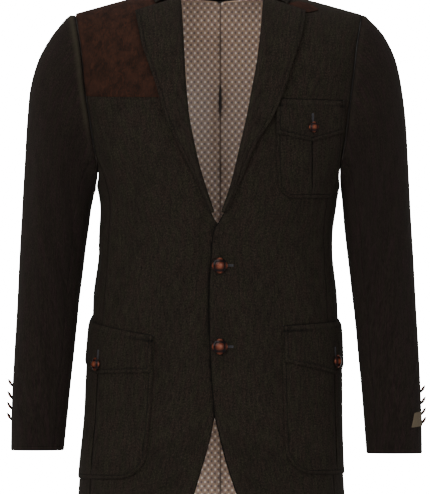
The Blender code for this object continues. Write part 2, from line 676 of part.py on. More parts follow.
def swell(pocket, place):
    """How far a patch stands out: it swells between its edges and dips along its pleat."""
    half, height = pocket["width"] / 2, pocket["top"] - pocket["bottom"]
    across = np.clip(1 - (place[..., 0] / half) ** 2, 0, 1)
    down = np.clip(np.sin(np.pi * np.clip(place[..., 1] / height, 0, 1)), 0, 1) ** 0.6
    groove = PLEAT_DEPTH * np.clip(1 - np.abs(place[..., 0]) / (1.3 * PLEAT_HALF), 0, 1)
    return (pocket["swell"] * across - groove) * down


POCKET_BELOW_FLAP = 9.0      # the patch's mouth lies this far below the flap's sewn line
FLAP_CLEAR = 0.2             # more room between the patch and its flap


def pocket_patch(name, pocket):
    heights = np.concatenate([np.linspace(0, 0.8, pocket["rows"]), [0.86, 0.93, 0.975, 1.0]])
    top = pocket["top"] - POCKET_BELOW_FLAP
    angle, row, place = pocket_lattice(pocket, top, lambda share: top - pocket["bottom"], 0.0, heights,
                                       pocket["corner"])
    place = place + np.array([0, POCKET_BELOW_FLAP])
    offset = STACK + POCKET_CLOTH + swell(pocket, place)
    return skin_wall(name, "tweed", angle, row, offset, POCKET_CLOTH)


def pocket_flap(name, pocket):
    """The flap hangs from its sewn line over the patch to a shallow point at the pleat."""
    def depth_at(share):
        return pocket["flap_point"] + (pocket["flap_side"] - pocket["flap_point"]) * share

    heights = np.array([0.0, 0.1, 0.2, 0.45, 0.7, 1.0])
    angle, row, place = pocket_lattice(pocket, pocket["top"], depth_at, pocket["inset"], heights)
    over_patch = POCKET_CLOTH + STACK + FLAP_CLEAR + swell(pocket, place)
    offset = STACK + POCKET_CLOTH + over_patch * ramp(place[..., 1], 0, POCKET_BELOW_FLAP)
    return skin_wall(name, "tweed", angle, row, offset, POCKET_CLOTH)


# ---------------------------------------------------------------- buttons and label

def button(name, centre, normal, size, sides, tilt=0.0):
    """A domed button of knotted leather, its narrow back towards the cloth, tilted about Y."""
    shape = bmesh.new()
    bmesh.ops.create_uvsphere(shape, u_segments=sides, v_segments=sides // 2, radius=1.0)
    for vertex in shape.verts:
        if vertex.co.z < 0:
            vertex.co.x *= BUTTON_BACK_WIDTH
            vertex.co.y *= BUTTON_BACK_WIDTH
            vertex.co.z *= BUTTON_BACK
        vertex.co.x *= size[0] / 2 * MM
        vertex.co.y *= size[0] / 2 * MM
        vertex.co.z *= size[1] / 2 * MM
    mesh = bpy.data.meshes.new(name)
    shape.to_mesh(mesh)
    shape.free()
    mesh.shade_smooth()
    made = add_object(name, "leather", mesh)
    made.location = centre * MM
    made.rotation_mode = "QUATERNION"
    made.rotation_quaternion = Quaternion((0, 1, 0), math.radians(tilt)) @ Vector(normal).to_track_quat("Z", "Y")


def seat(size):
    """Height of a button's middle over the cloth it lies on."""
    return size[1] / 2 * BUTTON_BACK + BUTTON_CLEAR


def front_buttons():
    for name, z in FRONT_BUTTONS.items():
        low = front_point(BUTTON_X, z, 0.0)
        normal = front_point(BUTTON_X, z, 1.0) - low
        button(name, low + normal * seat(FRONT_BUTTON), normal, FRONT_BUTTON, 12)


def flap_buttons():
    for key, pocket in POCKETS.items():
        row = row_at(POCKET_X[pocket["side"]], pocket["button"])
        angle = pleat_angle(pocket, row)
        place = np.array([0.0, pocket["top"] - pocket["button"]])
        stack = 2 * (STACK + POCKET_CLOTH) + FLAP_CLEAR + float(swell(pocket, place))
        low = skin(angle, row)
        normal = skin(angle, row, 1.0) - low
        word, _, rest = key.partition("_")
        name = word + "_button" + ("_" + rest if rest else "")
        button(name, low + normal * (stack + seat(FLAP_BUTTON[key])), normal, FLAP_BUTTON[key], 12)


def cuff_buttons():
    turn = np.array(math.radians(CUFF_BUTTON_ANGLE))
    for side, word in ((RIGHT, "right"), (LEFT, "left")):
        for number, level in enumerate(CUFF_BUTTON_LEVELS[side], start=1):
            row = np.array(SLEEVE.row_of("out_level", level))
            low = sleeve_skin(side, turn, row, np.array(0.0))
            normal = sleeve_skin(side, turn, row, np.array(1.0)) - low
            button(f"cuff_button_{word}_{number}", low + normal * CUFF_BUTTON_HEIGHT, normal, CUFF_BUTTON, 8,
                   side * CUFF_BUTTON_TILT)


# heights, its two sides at the top and at the bottom in degrees forward of the outer edge, its faces' heights
LABEL = dict(top=-630.0, bottom=-652.0, start=(14.0, 5.0), end=(43.0, 52.0), outer=0.9, inner=0.1)


def cuff_label(name):
    """A small bare woven label on the left cuff."""
    row = SLEEVE.row_of("out_level", np.linspace(LABEL["top"], LABEL["bottom"], 4))
    start, end = (np.linspace(*LABEL[key], 4)[:, None] for key in ("start", "end"))
    turns = np.radians(start + (end - start) * np.linspace(0, 1, 6))
    rows = np.broadcast_to(row[:, None], turns.shape)
    outer = sleeve_skin(LEFT, turns, rows, np.full_like(turns, LABEL["outer"]))
    inner = sleeve_skin(LEFT, turns, rows, np.full_like(turns, LABEL["inner"]))
    return wall(name, "label", outer, inner)


# ---------------------------------------------------------------- build

for leftover in list(bpy.data.objects):
    bpy.data.objects.remove(leftover, do_unlink=True)
jacket = bpy.data.collections.new("tweed_shooting_jacket")
bpy.context.scene.collection.children.link(jacket)
materials = {}
for material_name, (colour, roughness) in MATERIALS.items():
    material = bpy.data.materials.new(material_name)
    material.use_nodes = True
    shader = material.node_tree.nodes["Principled BSDF"]
    shader.inputs["Base Color"].default_value = (*colour, 1.0)
    shader.inputs["Roughness"].default_value = roughness
    materials[material_name] = material

for body_side, body_word in ((RIGHT, "right"), (LEFT, "left")):
    front("front_" + body_word, body_side)
    side_panel("side_" + body_word, body_side)
    back("back_" + body_word, body_side)
    back_lining("lining_" + body_word, body_side)
    lapel("lapel_" + body_word, body_side)
    sleeve(body_side, body_word)
collar("collar")
gun_patch("gun_patch")
throat_tab("throat_tab")
pocket_patch("breast_pocket", POCKETS["breast"])
pocket_flap("breast_flap", POCKETS["breast"])
for pocket_word in ("right", "left"):
    pocket_patch("hip_pocket_" + pocket_word, POCKETS["hip_" + pocket_word])
    pocket_flap("hip_flap_" + pocket_word, POCKETS["hip_" + pocket_word])
front_buttons()
flap_buttons()
cuff_buttons()
cuff_label("cuff_label")
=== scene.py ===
"""Looks of a man's two-button tweed shooting jacket, filled out as if worn.

Every cloth piece is a thin shell on the form of its solid: the same sections and tables, read more finely,
with soft creases, rolled edges and topstitching. Tables are in millimetres, in the frame of the solids:
X points to the wearer's left, the front faces -Y, and Z = 0 is the level of the neck points.
"""

import math

import bpy
import numpy as np
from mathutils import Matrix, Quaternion, Vector


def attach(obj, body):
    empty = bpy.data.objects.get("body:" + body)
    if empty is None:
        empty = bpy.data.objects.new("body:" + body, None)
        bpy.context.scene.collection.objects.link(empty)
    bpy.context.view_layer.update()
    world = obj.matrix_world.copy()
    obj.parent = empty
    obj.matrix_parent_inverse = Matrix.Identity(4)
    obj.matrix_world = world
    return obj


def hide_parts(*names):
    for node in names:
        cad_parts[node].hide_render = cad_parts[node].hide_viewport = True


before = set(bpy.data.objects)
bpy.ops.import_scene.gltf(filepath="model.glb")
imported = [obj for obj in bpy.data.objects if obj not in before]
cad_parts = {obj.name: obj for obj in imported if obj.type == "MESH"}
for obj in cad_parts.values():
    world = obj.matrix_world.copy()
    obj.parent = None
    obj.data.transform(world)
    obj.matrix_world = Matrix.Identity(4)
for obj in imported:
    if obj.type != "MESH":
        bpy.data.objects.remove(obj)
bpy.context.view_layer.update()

MM = 0.001
RIGHT, LEFT = -1, 1          # the wearer's sides, as signs of X
WORD = {RIGHT: "right", LEFT: "left"}
STEP = 4.5                   # spacing of the points inside a piece
# lines of points beside a piece's edge: its roll, the swelled strip, the stitched groove
EDGE_LINES = (0.0, 0.5, 1.1, 2.0, 3.3, 4.8, 5.6, 6.0, 6.4, 7.4)
STITCH_IN = 6.0              # topstitching from the edge

# ---------------------------------------------------------------- the jacket's form, as in its solids

TWEED, LINING, PATCH_SUEDE, POCKET_CLOTH = 2.0, 1.0, 1.2, 1.5     # walls
SEAM, LINING_GAP, STACK, ARMHOLE_GAP = 0.2, 0.9, 0.6, 0.3         # gaps between pieces
SEAM_ANGLE = 66.0            # front seam and armhole front edge, in degrees round from the centre front
HEM = -800.0
UNDERARM_TOP, UNDERARM_DIP, SETTLED = -240.0, 56.0, -352.0
SHOULDER_SLOPE, SHOULDER_FADE, SHOULDER_ROUND, NECK_HALF = 0.277, 300.0, 12.0, 73.0
SECTION_SQUARE = 0.8         # 1 gives an ellipse, less gives a flatter front and back
FIRST_ROW = 0.05             # just off the ridge of the shoulder seam
RIDGE_Y = 0.55               # how far a front's and a back's first points stand off that ridge
RIGHT_UNDERLAP, UNDERLAP_X, UNDERLAP_LEVEL = 3.2, (-36.0, -19.0), (-336.0, -351.0)
SIDE_RADIUS, ARM_RADIUS = 127.0, 52.0    # turn a seam's gap into an angle
TINY = 1e-3                  # step in angle or rows for the directions along the skin


def catmull_rom(knots, t):
    """Curve between the second and the third of four knots, t from 0 to 1."""
    p0, p1, p2, p3 = knots
    return p1 + 0.5 * t * (p2 - p0 + t * (2 * p0 - 5 * p1 + 4 * p2 - p3 + t * (3 * (p1 - p2) + p3 - p0)))


class Table:
    """Rows with named columns, read at fractional row numbers along a Catmull-Rom curve."""

    def __init__(self, names, rows):
        self.columns = dict(zip(names.split(), np.array(rows, dtype=float).T))
        self.last = len(rows) - 1

    def at(self, name, row):
        values = self.columns[name]
        ends = np.concatenate([[2 * values[0] - values[1]], values, [2 * values[-1] - values[-2]]])
        row = np.clip(row, 0, self.last)
        first = np.minimum(np.floor(row).astype(int), self.last - 1)
        return catmull_rom((ends[first + k] for k in range(4)), row - first)

    def row_of(self, name, value):
        rows = np.linspace(0, self.last, 40 * self.last + 1)
        values = self.at(name, rows)
        order = np.argsort(values)
        return np.interp(value, values[order], rows[order])


# level: height of the section at the neck; right, left: half widths; front, back: depths from the
# shoulder seam
BODY = Table("level right left front back", [
    (0, 236.5, 235, 0, 0),
    (-4, 235.5, 234, 27, 28),
    (-14, 233.5, 232.5, 50, 51),
    (-32, 231, 230, 73, 75),
    (-58, 227, 226, 93, 96),
    (-95, 223, 222, 110, 113),
    (-140, 219, 217, 118, 122),
    (-190, 211.5, 211, 122, 124),
    (-240, 204, 204, 123, 122),
    (-268, 194, 194, 122, 119),
    (-296, 184, 182, 120, 115),
    (-330, 178.5, 176, 116, 108),
    (-372, 181, 171, 113, 101),
    (-420, 183.5, 173.5, 111, 98),
    (-470, 188.5, 177.5, 111, 99),
    (-520, 192.5, 180, 112, 104),
    (-580, 196.5, 181, 114, 112),
    (-640, 200, 182, 116, 118),
    (-700, 206.5, 185, 118, 122),
    (-750, 211, 188.5, 119, 124),
    (-800, 213, 190, 120, 125),
])

# the fronts' inner edges, as X: the roll line down to the break, then the button edge and the cutaway
EDGE = Table("level right left", [
    (0, -73, 76),
    (-5, -68, 73),
    (-18, -61, 70),
    (-50, -59, 68),
    (-84, -57, 64.5),
    (-115, -55.5, 60.5),
    (-147, -53.5, 54.5),
    (-193, -49, 46),
    (-232, -41.5, 37),
    (-271, -32.5, 28),
    (-303, -22.5, 19.5),
    (-335, -12, 8),
    (-350, -5, 0),
    (-364, 8, -8),
    (-393, 15.5, -12),
    (-453, 16.5, -15),
    (-513, 16.5, -15),
    (-573, 13, -12.5),
    (-610, 4, -9.5),
    (-640, -6, -7),
    (-670, -12, 0),
    (-700, -20, 7.5),
    (-730, -29, 16.5),
    (-759, -38, 27),
    (-778, -48, 37),
    (-790, -58, 48),
    (-797, -70, 61),
    (-800, -88, 80),
])

# the lapels from the gorge down to the break: heights and X of the roll line and of the outer edge
LAPEL = Table("roll_level edge_level roll_right edge_right roll_left edge_left lift", [
    (-21, -39, -61, -124, 70, 127.5, 5.2),
    (-50, -62, -59, -119, 68, 124.5, 5.2),
    (-84, -87, -57, -114, 64.5, 118, 5.2),
    (-115, -115, -55.5, -104, 60.5, 108, 5.2),
    (-147, -147, -53.5, -93, 54.5, 98.5, 5.2),
    (-193, -193, -49, -79.5, 46, 80, 5.2),
    (-232, -232, -41.5, -63, 37, 56, 4.6),
    (-271, -271, -32.5, -44, 28, 39.5, 2.6),
    (-303, -303, -22.5, -28.5, 19.5, 26.5, 1.3),
    (-337, -337, -11.3, -15, 7.2, 11, 0.6),
])

# across a lapel: distance from the roll line, where below zero is past the front's edge, the height of the
# cloth's middle over the front, and how much of the lift it takes
LAPEL_ROLL = [
    (9.0, -4.2, 0.0),
    (2.0, -4.4, 0.0),
    (-2.8, -2.6, 0.0),
    (-3.8, 0.4, 0.2),
    (-1.6, 2.2, 0.8),
    (3.0, 2.2, 1.1),
]
LAPEL_FLAT = [(0.3, 1.15), (0.55, 1.1), (0.8, 1.05), (1.0, 1.0)]   # share of the width, share of the lift

# the collar's half from its front end to the centre back: fold line, and the plan of the leaf's edge
COLLAR_CENTRE = 3.5
COLLAR = Table("fold_x fold_y fold_z leaf_x leaf_y", [
    (61, -55, -9, 97.5, -58),
    (62, -34, 7, 104, -31),
    (63, -8, 21, 100, 6),
    (61, 16, 30, 91, 32),
    (53, 40, 36, 73, 58),
    (38, 56, 40, 50, 75),
    (20, 65, 42, 26, 83),
    (0, 68, 43, 0, 85),
])
COLLAR_LIFT = 5.4            # leaf's middle over the shoulder, clear of the lapel's roll
STAND_INWARDS, STAND_RISE = 2.8, 0.8    # the stand's lower edge from the body's neck edge
NECK_MIDDLE = (COLLAR_CENTRE, 5.0)
GORGE_LEVEL = -19.0          # the collar's front ends, where the lapels start
# across the collar from the stand's edge: share of the way stand to fold, then fold to leaf, and the shifts
# outwards and up; the last column is a share of the leaf's fall
COLLAR_PROFILE = [
    (0.0, 0.0, 0.0, 0.0, 0.0),
    (0.55, 0.0, -1.0, 0.0, 0.0),
    (1.0, 0.0, -1.5, -5.0, 0.0),
    (1.0, 0.0, 1.5, 0.8, 0.0),
    (1.0, 0.0, 6.0, 0.0, -0.12),
    (1.0, 0.45, 3.5, 1.5, 0.0),
    (1.0, 0.75, 2.0, 0.8, 0.0),
    (1.0, 1.0, 0.0, 0.0, 0.0),
]
DEEPEST_FRONT, DEEPEST_BACK = 118.0, 121.0   # plan depths past which no shoulder point is sought

# the sleeves from the armhole to the cuff: outer and inner edges seen from the front, and the depth in Y
SLEEVE = Table("out_level out_right out_left in_level in_right in_left front back", [
    (-41, 216, 214.5, -294, 184, 182.5, -62, 62),
    (-46, 228, 222, -297, 184.6, 183, -66, 64),
    (-60, 241, 238, -303, 186, 183.4, -68, 66),
    (-78, 254.5, 251.5, -315, 188, 184, -69, 67),
    (-108, 271, 265.5, -333, 191.5, 185.5, -69, 67),
    (-150, 283, 274.5, -357, 194.5, 187.5, -68, 66),
    (-200, 288, 280.5, -388, 199, 191, -66, 64),
    (-260, 291.5, 284, -425, 203.5, 195.5, -64, 61),
    (-330, 295.5, 287.5, -465, 208.5, 200, -62, 57),
    (-405, 299.5, 292, -505, 212.5, 204.5, -62, 51),
    (-480, 303, 296, -545, 216.5, 208, -64, 43),
    (-550, 307, 300, -590, 221.5, 212.5, -68, 34),
    (-620, 310.5, 303, -640, 226.5, 216.5, -71, 26),
    (-693, 312, 304.5, -693, 232, 220.5, -73, 20),
])
CUFF_DROP = {RIGHT: 0.0, LEFT: 4.5}     # the left sleeve hangs a little lower
FRONT_SEAM = (128.0, 128.0)  # sleeve seams at the armhole and at the cuff, in degrees from the outer edge
HIND_SEAM = (-80.0, -24.0)

# pockets: width, heights and corners; the hip ones wrap round the side
HIP_WIDTH, HIP_CORNER = 184.0, 42.0
BREAST_WIDTH, BREAST_CORNER = 113.0, 25.0
POCKET_X = {RIGHT: -150.0, LEFT: 150.0}     # their heights below are those at this X
PLEAT_HALF, PLEAT_DEPTH = 3.5, 0.9
POCKET_BELOW_FLAP, FLAP_CLEAR = 9.0, 0.2
# where each pocket's pleat lies, as an angle or as X, its top and bottom there, how its top slopes, how far
# it swells, how its flap's sides stand in, the flap's depths and the height of its button
POCKETS = {
    "hip_right": dict(side=RIGHT, angle=64.8, top=-505.0, bottom=-735.0, slope=0.17, width=HIP_WIDTH,
                      corner=HIP_CORNER, swell=3.4, inset=3.0, flap_side=56.0, flap_point=73.0,
                      button=-564.0),
    "hip_left": dict(side=LEFT, angle=69.0, top=-500.0, bottom=-728.0, slope=0.06, width=HIP_WIDTH,
                     corner=HIP_CORNER, swell=3.4, inset=3.0, flap_side=55.0, flap_point=79.0,
                     button=-559.5),
    "breast": dict(side=LEFT, pleat_x=138.0, top=-169.0, bottom=-316.0, slope=0.055, width=BREAST_WIDTH,
                   corner=BREAST_CORNER, swell=1.2, inset=0.5, flap_side=50.0, flap_point=62.5,
                   button=-210.0),
}

# buttons: width and height, places
FRONT_BUTTON = (23.5, 10.0)
FLAP_BUTTON = {"hip_right": (19.0, 9.0), "hip_left": (19.0, 9.0), "breast": (16.0, 8.0)}
CUFF_BUTTON = (14.0, 5.0)
BUTTON_BACK, BUTTON_CLEAR = 0.8, 0.5
FRONT_BUTTONS = {"front_button_upper": -416.0, "front_button_lower": -537.0}
BUTTON_X = 1.0
CUFF_BUTTON_LEVELS = {RIGHT: (-592.0, -610.0, -626.0, -642.0), LEFT: (-597.0, -614.0, -630.0, -644.0)}
CUFF_BUTTON_HEIGHT, CUFF_BUTTON_ANGLE, CUFF_BUTTON_TILT = 3.2, -4.0, 32.0

# ---------------------------------------------------------------- creases

# soft folds of the body: place round from the centre front and height, lean from upright in degrees (positive
# leans down towards the wearer's left), half length, half width, and depth, where below zero is a trough
FOLD_ROUND = 2.6             # millimetres round the body for a degree
FOLD_DEPTH = 1.45            # how strong all the folds are
BODY_FOLDS = [
    # fronts, wearer's right
    (-91, -472, 2, 34, 4, -0.8),
    (-132, -466, -40, 28, 9, -1.4),
    (-124, -462, -38, 34, 11, -1.7),
    (-96, -486, -30, 42, 15, 1.1),
    (-150, -300, 10, 60, 10, -1.6),
    (-128, -318, 14, 70, 14, 1.0),
    (-60, -575, -24, 46, 13, -1.2),
    (-36, -560, -26, 50, 16, 0.8),
    (-104, -395, 24, 48, 15, -0.9),
    (-70, -770, 8, 44, 14, -1.3),
    (-104, -776, 3, 40, 15, 1.2),
    (-92, -190, 22, 52, 16, -0.8),
    # fronts, wearer's left
    (150, -462, 34, 38, 12, -1.8),
    (122, -480, 30, 40, 15, 1.1),
    (172, -404, 26, 40, 8, 1.5),
    (182, -424, 28, 42, 9, -1.4),
    (160, -300, -10, 62, 10, -1.9),
    (44, -702, -14, 50, 11, -1.9),
    (22, -716, -14, 58, 15, 0.9),
    (121, -463, 40, 26, 10, -1.5),
    (94, -474, 3, 34, 4, -0.8),
    (88, -400, -22, 52, 16, -0.9),
    (78, -590, 14, 60, 18, -0.7),
    (96, -130, -16, 44, 15, -0.8),
    # sides
    (-218, -430, -16, 46, 12, -1.8),
    (-246, -458, -24, 40, 13, 1.3),
    (-236, -392, 14, 50, 12, -1.4),
    (-232, -640, 5, 80, 16, -1.3),
    (224, -436, 18, 50, 12, -1.8),
    (250, -470, 22, 38, 12, 1.2),
    (240, -385, -12, 48, 12, -1.5),
    (236, -655, -6, 84, 17, -1.2),
    # back: blades, waist and skirt
    (-352, -150, 12, 80, 17, -1.5),
    (-318, -214, 20, 62, 13, 1.2),
    (-330, -268, 26, 56, 11, -1.9),
    (-392, -452, 40, 46, 12, -1.6),
    (-350, -474, 34, 52, 14, 1.3),
    (-418, -500, 12, 60, 14, -0.9),
    (-380, -690, 4, 90, 17, -1.5),
    (-430, -720, -3, 76, 18, 1.0),
    (346, -168, -14, 76, 16, -1.4),
    (322, -232, -22, 58, 13, 1.3),
    (338, -282, -26, 60, 12, -1.8),
    (396, -438, -38, 52, 12, -1.7),
    (358, -468, -32, 46, 13, 1.2),
    (424, -486, -10, 64, 15, -1.0),
    (372, -702, -5, 84, 18, -1.4),
    (428, -676, 2, 92, 17, 1.1),
    (440, -60, -70, 40, 10, -0.8),
    (-436, -64, 68, 44, 10, -0.9),
]
# the same on the sleeves: degrees round from the outer edge (90 is the front, 180 the inner edge), height,
# and lean, which is positive down towards the inner edge
ARM_ROUND = 0.95             # millimetres round the sleeve for a degree
ARM_HIND = 330.0             # degrees past which a place is counted back from the outer edge
ARM_FOLDS = {
    RIGHT: [
        (120, -175, 12, 58, 9, -1.9), (96, -196, 10, 66, 12, 1.3), (142, -240, 16, 52, 9, -1.7),
        (38, -238, -6, 70, 13, -1.2), (62, -310, 8, 80, 14, 0.9), (128, -352, 40, 26, 8, -1.5),
        (104, -372, 44, 30, 10, 1.2), (134, -398, 36, 30, 9, -1.7), (98, -420, 28, 36, 10, -1.1),
        (60, -450, 6, 84, 13, -1.0), (112, -520, 10, 66, 12, -1.1), (36, -566, 24, 24, 6, 1.0),
        (46, -590, 28, 26, 6, -1.0), (40, -622, 24, 24, 5, 0.9), (84, -650, 4, 46, 13, -1.0),
        (210, -300, -20, 44, 10, -1.6), (236, -366, -34, 34, 9, -1.8), (252, -398, -28, 38, 10, 1.2),
        (226, -420, -38, 34, 9, -1.6), (280, -230, 8, 70, 13, -1.3), (286, -480, 4, 80, 14, -1.1),
    ],
    LEFT: [
        (124, -200, 12, 60, 10, -1.7), (98, -178, 8, 64, 12, 1.2), (140, -262, 18, 46, 9, -1.6),
        (72, -236, 4, 44, 14, -1.9), (42, -300, -5, 74, 14, 0.9), (126, -364, 38, 30, 9, -1.5),
        (106, -340, 42, 28, 9, 1.1), (132, -410, 40, 28, 8, -1.6), (92, -434, 24, 38, 11, -1.0),
        (54, -480, 3, 76, 13, -1.1), (106, -540, 8, 60, 13, -1.2), (30, -560, 30, 22, 5, 1.0),
        (38, -580, 32, 24, 6, -1.0), (84, -620, 2, 56, 14, -0.9),
        (214, -312, -24, 40, 10, -1.6), (240, -372, -30, 36, 9, -1.7), (256, -404, -34, 32, 10, 1.2),
        (228, -428, -40, 36, 9, -1.5), (282, -244, 6, 66, 13, -1.2), (290, -500, 5, 84, 14, -1.0),
    ],
}


def folds(rows, u, v):
    """Sum of the soft folds: each one a bell curve across its line, and a longer one along it."""
    height = np.zeros(np.broadcast(u, v).shape)
    for place, level, lean, length, width, depth in rows:
        sine, cosine = math.sin(math.radians(lean)), math.cos(math.radians(lean))
        across = (u - place) * cosine + (v - level) * sine
        along = (v - level) * cosine - (u - place) * sine
        height = height + FOLD_DEPTH * depth * np.exp(-(across / width) ** 2 - (along / length) ** 2)
    return height


def body_folds(angle, row):
    return folds(BODY_FOLDS, np.degrees(angle) * FOLD_ROUND, BODY.at("level", row))


def arm_folds(side, turn, row):
    turned = np.degrees(turn) % 360.0
    turned = np.where(turned > ARM_HIND, turned - 360.0, turned) * ARM_ROUND
    rows = [(place * ARM_ROUND, *rest) for place, *rest in ARM_FOLDS[side]]
    return folds(rows, turned, SLEEVE.at("out_level", row)) * ramp(row, 0.5, 3.0)


# ---------------------------------------------------------------- the skin

def ramp(value, low, high):
    """0 at low, 1 at high and past it, smooth between."""
    t = np.clip((value - low) / (high - low), 0, 1)
    return t * t * (3 - 2 * t)


def bell(value, half):
    """1 at zero and falling off on both sides, to a third or so at half."""
    return np.exp(-(value / half) ** 2)


def slope_drop(x, level):
    """How far the shoulder's slope lowers a section at X, fading out down the body."""
    past = np.abs(x) - NECK_HALF
    drop = SHOULDER_SLOPE * (past + np.sqrt(past ** 2 + SHOULDER_ROUND ** 2)) / 2
    return drop * np.clip(1 + level / SHOULDER_FADE, 0, 1) ** 1.5


def face(angle, row):
    """Smooth body point at an angle (radians from the centre front) and a BODY row: a squared-off ellipse."""
    sine, cosine = np.sin(angle), np.cos(angle)
    half = np.where(angle > 0, BODY.at("left", row), BODY.at("right", row))
    depth = np.where(cosine > 0, -BODY.at("front", row), BODY.at("back", row))
    x = half * sine
    level = BODY.at("level", row)
    return np.stack([x, depth * np.abs(cosine) ** SECTION_SQUARE, level - slope_drop(x, level)], axis=-1)


def skin(angle, row, offset=0.0):
    """The body's cloth with its folds, moved out along the smooth body's normal."""
    angle, row = np.broadcast_arrays(np.asarray(angle, float), np.asarray(row, float))
    across = face(angle + TINY, row) - face(angle - TINY, row)
    down = face(angle, row + TINY) - face(angle, row - TINY)
    normal = unit(np.cross(down, across))
    return face(angle, row) + normal * (np.asarray(offset) + body_folds(angle, row))[..., None]


def row_at(x, z):
    """BODY row of the skin at a front-view position."""
    level = np.asarray(z, float)
    for _ in range(20):
        level = z + slope_drop(x, level)
    return BODY.row_of("level", level)


def angle_at(x, row, back=False):
    """Angle of the skin at X on a row, on the front or the back."""
    half = np.where(np.asarray(x) > 0, BODY.at("left", row), BODY.at("right", row))
    angle = np.arcsin(np.clip(x / half, -1, 1))
    return np.where(np.asarray(x) > 0, math.pi, -math.pi) - angle if back else angle


def around(row, start, distance):
    """Angle reached from a start angle by a distance along one section, in small midpoint steps."""
    angle = np.broadcast_to(np.asarray(start, float), np.shape(distance)).copy()
    count = 16

    def speed(at):
        return np.linalg.norm(face(at + TINY, row) - face(at - TINY, row), axis=-1) / (2 * TINY)

    for _ in range(count):
        middle = angle + distance / count / 2 / speed(angle)
        angle = angle + distance / count / speed(middle)
    return angle


def front_point(x, z, offset):
    """Point of the skin at a front-view position."""
    row = row_at(x, z)
    return skin(angle_at(x, row), row, offset)


def rows_between(first, last, angle=math.radians(35), step=STEP, edges=(True, True)):
    """BODY rows between two rows, evenly spaced along the skin, with the edge lines at the marked ends."""
    fine = np.linspace(first, last, 1500)
    points = face(np.full_like(fine, angle), fine)
    length = lengths(points, 0)
    return np.interp(lines(length[-1], step, edges), length, fine)


def lines(length, step=STEP, edges=(True, True)):
    """Distances from 0 to a length: the edge lines at the marked ends, even spacing between."""
    start = np.array(EDGE_LINES if edges[0] else (0.0,))
    end = length - np.array(EDGE_LINES if edges[1] else (0.0,))[::-1]
    count = max(int(round((end[0] - start[-1]) / step)), 1)
    return np.concatenate([start, np.linspace(start[-1], end[0], count + 1)[1:-1], end])


# ---------------------------------------------------------------- meshes

def unit(vectors):
    return vectors / np.linalg.norm(vectors, axis=-1, keepdims=True)


def normals(grid):
    """Unit normals of a grid of points, from its rows and columns."""
    return unit(np.cross(np.gradient(grid, axis=0), np.gradient(grid, axis=1)))


def lengths(grid, axis):
    """Distance of every point of a grid or a line from the start of its row or column."""
    parts = np.linalg.norm(np.diff(grid, axis=axis), axis=-1)
    return np.insert(np.cumsum(parts, axis=axis), 0, 0.0, axis=axis)


def at_distances(distances, line, values=None):
    """Points of a line, or values given along it, at distances from its start."""
    length, values = lengths(line, 0), line if values is None else values
    return np.stack([np.interp(distances, length, values[:, k]) for k in range(3)], axis=-1)


def smooth(knots, factor):
    """A Catmull-Rom surface through knots along axis 1, with factor steps between two of them."""
    count = knots.shape[1]
    ends = np.concatenate([2 * knots[:, :1] - knots[:, 1:2], knots, 2 * knots[:, -1:] - knots[:, -2:-1]],
                          axis=1)
    place = np.linspace(0, count - 1, factor * (count - 1) + 1)
    first = np.minimum(place.astype(int), count - 2)
    return catmull_rom((ends[:, first + k] for k in range(4)), (place - first)[None, :, None])


def link(name, data):
    """A new object of the scene that holds some data."""
    made = bpy.data.objects.new(name, data)
    bpy.context.scene.collection.objects.link(made)
    return made


def new_mesh(name, points, faces):
    """A mesh from points in millimetres."""
    mesh = bpy.data.meshes.new(name)
    mesh.from_pydata((points * MM).tolist(), [], faces)
    return mesh


def add_mesh(name, points, faces, uv=None, attributes=(), sharp=50):
    """A smooth-shaded object from points in millimetres, with its uv in metres and named point values."""
    mesh = new_mesh(name, points, faces.tolist())
    if uv is not None:
        layer = mesh.uv_layers.new(name="cloth")
        corner = np.empty(len(mesh.loops), dtype=np.int32)
        mesh.loops.foreach_get("vertex_index", corner)
        layer.data.foreach_set("uv", (uv[corner] * MM).astype(np.float32).ravel())
    for key, values in dict(attributes).items():
        mesh.attributes.new(key, "FLOAT", "POINT").data.foreach_set("value", values.astype(np.float32))
    mesh.shade_smooth()
    mesh.set_sharp_from_angle(angle=math.radians(sharp))
    return link(name, mesh)


def quads(a, b, c, d):
    """Four-sided faces from four equal arrays of point numbers."""
    return np.stack([a, b, c, d], axis=-1).reshape(-1, 4)


def shell(name, outer, inner, uv, outside, inside, painted_shade):
    """A closed wall between two grids.

    outside and inside are the materials of its two faces, and the last argument gives the shade painted at
    each point, where below zero it is a painted highlight."""
    rows, columns = outer.shape[:2]
    count = rows * columns
    number = np.arange(count).reshape(rows, columns)
    top = quads(number[:-1, :-1], number[1:, :-1], number[1:, 1:], number[:-1, 1:])
    faces, marks = [top, top[:, ::-1] + count], [0, 1]
    for rim in (number[0], number[-1][::-1], number[:, -1], number[:, 0][::-1]):
        faces.append(quads(rim[:-1], rim[1:], rim[1:] + count, rim[:-1] + count))
        marks.append(0)
    flow = normals(outer)[rows // 2, columns // 2] @ (outer - inner)[rows // 2, columns // 2]
    if flow < 0:
        faces = [part[:, ::-1] for part in faces]
    points = np.concatenate([outer.reshape(-1, 3), inner.reshape(-1, 3)])
    painted_shade = np.concatenate([painted_shade.ravel()] * 2)
    made = add_mesh(name, points, np.concatenate(faces), np.concatenate([uv.reshape(-1, 2)] * 2),
                    {"painted_shade": painted_shade})
    made.data.materials.append(outside)
    made.data.materials.append(inside)
    mark = np.concatenate([np.full(len(part), m) for part, m in zip(faces, marks)])
    made.data.polygons.foreach_set("material_index", mark.astype(np.int32))
    return made


# how an edge of a piece lies: how deep it drops at the very edge, over what distance, and the painted shade
# along it
EDGES = {
    "turned": (0.75, 1.5, 0.4),       # a free edge, turned in and pressed
    "flat": (0.35, 1.2, 0.05),        # a free edge pressed flat
    "seam": (0.6, 1.5, 0.25),         # sinks into a seam
    "armhole": (0.95, 1.7, 0.95),     # the same, deeper, with painted shade that is darker above the underarm
    "hidden": (0.0, 1.0, 0.0),
}
SHADE_REACH = 1.3                     # how far in from an edge its painted shade reaches
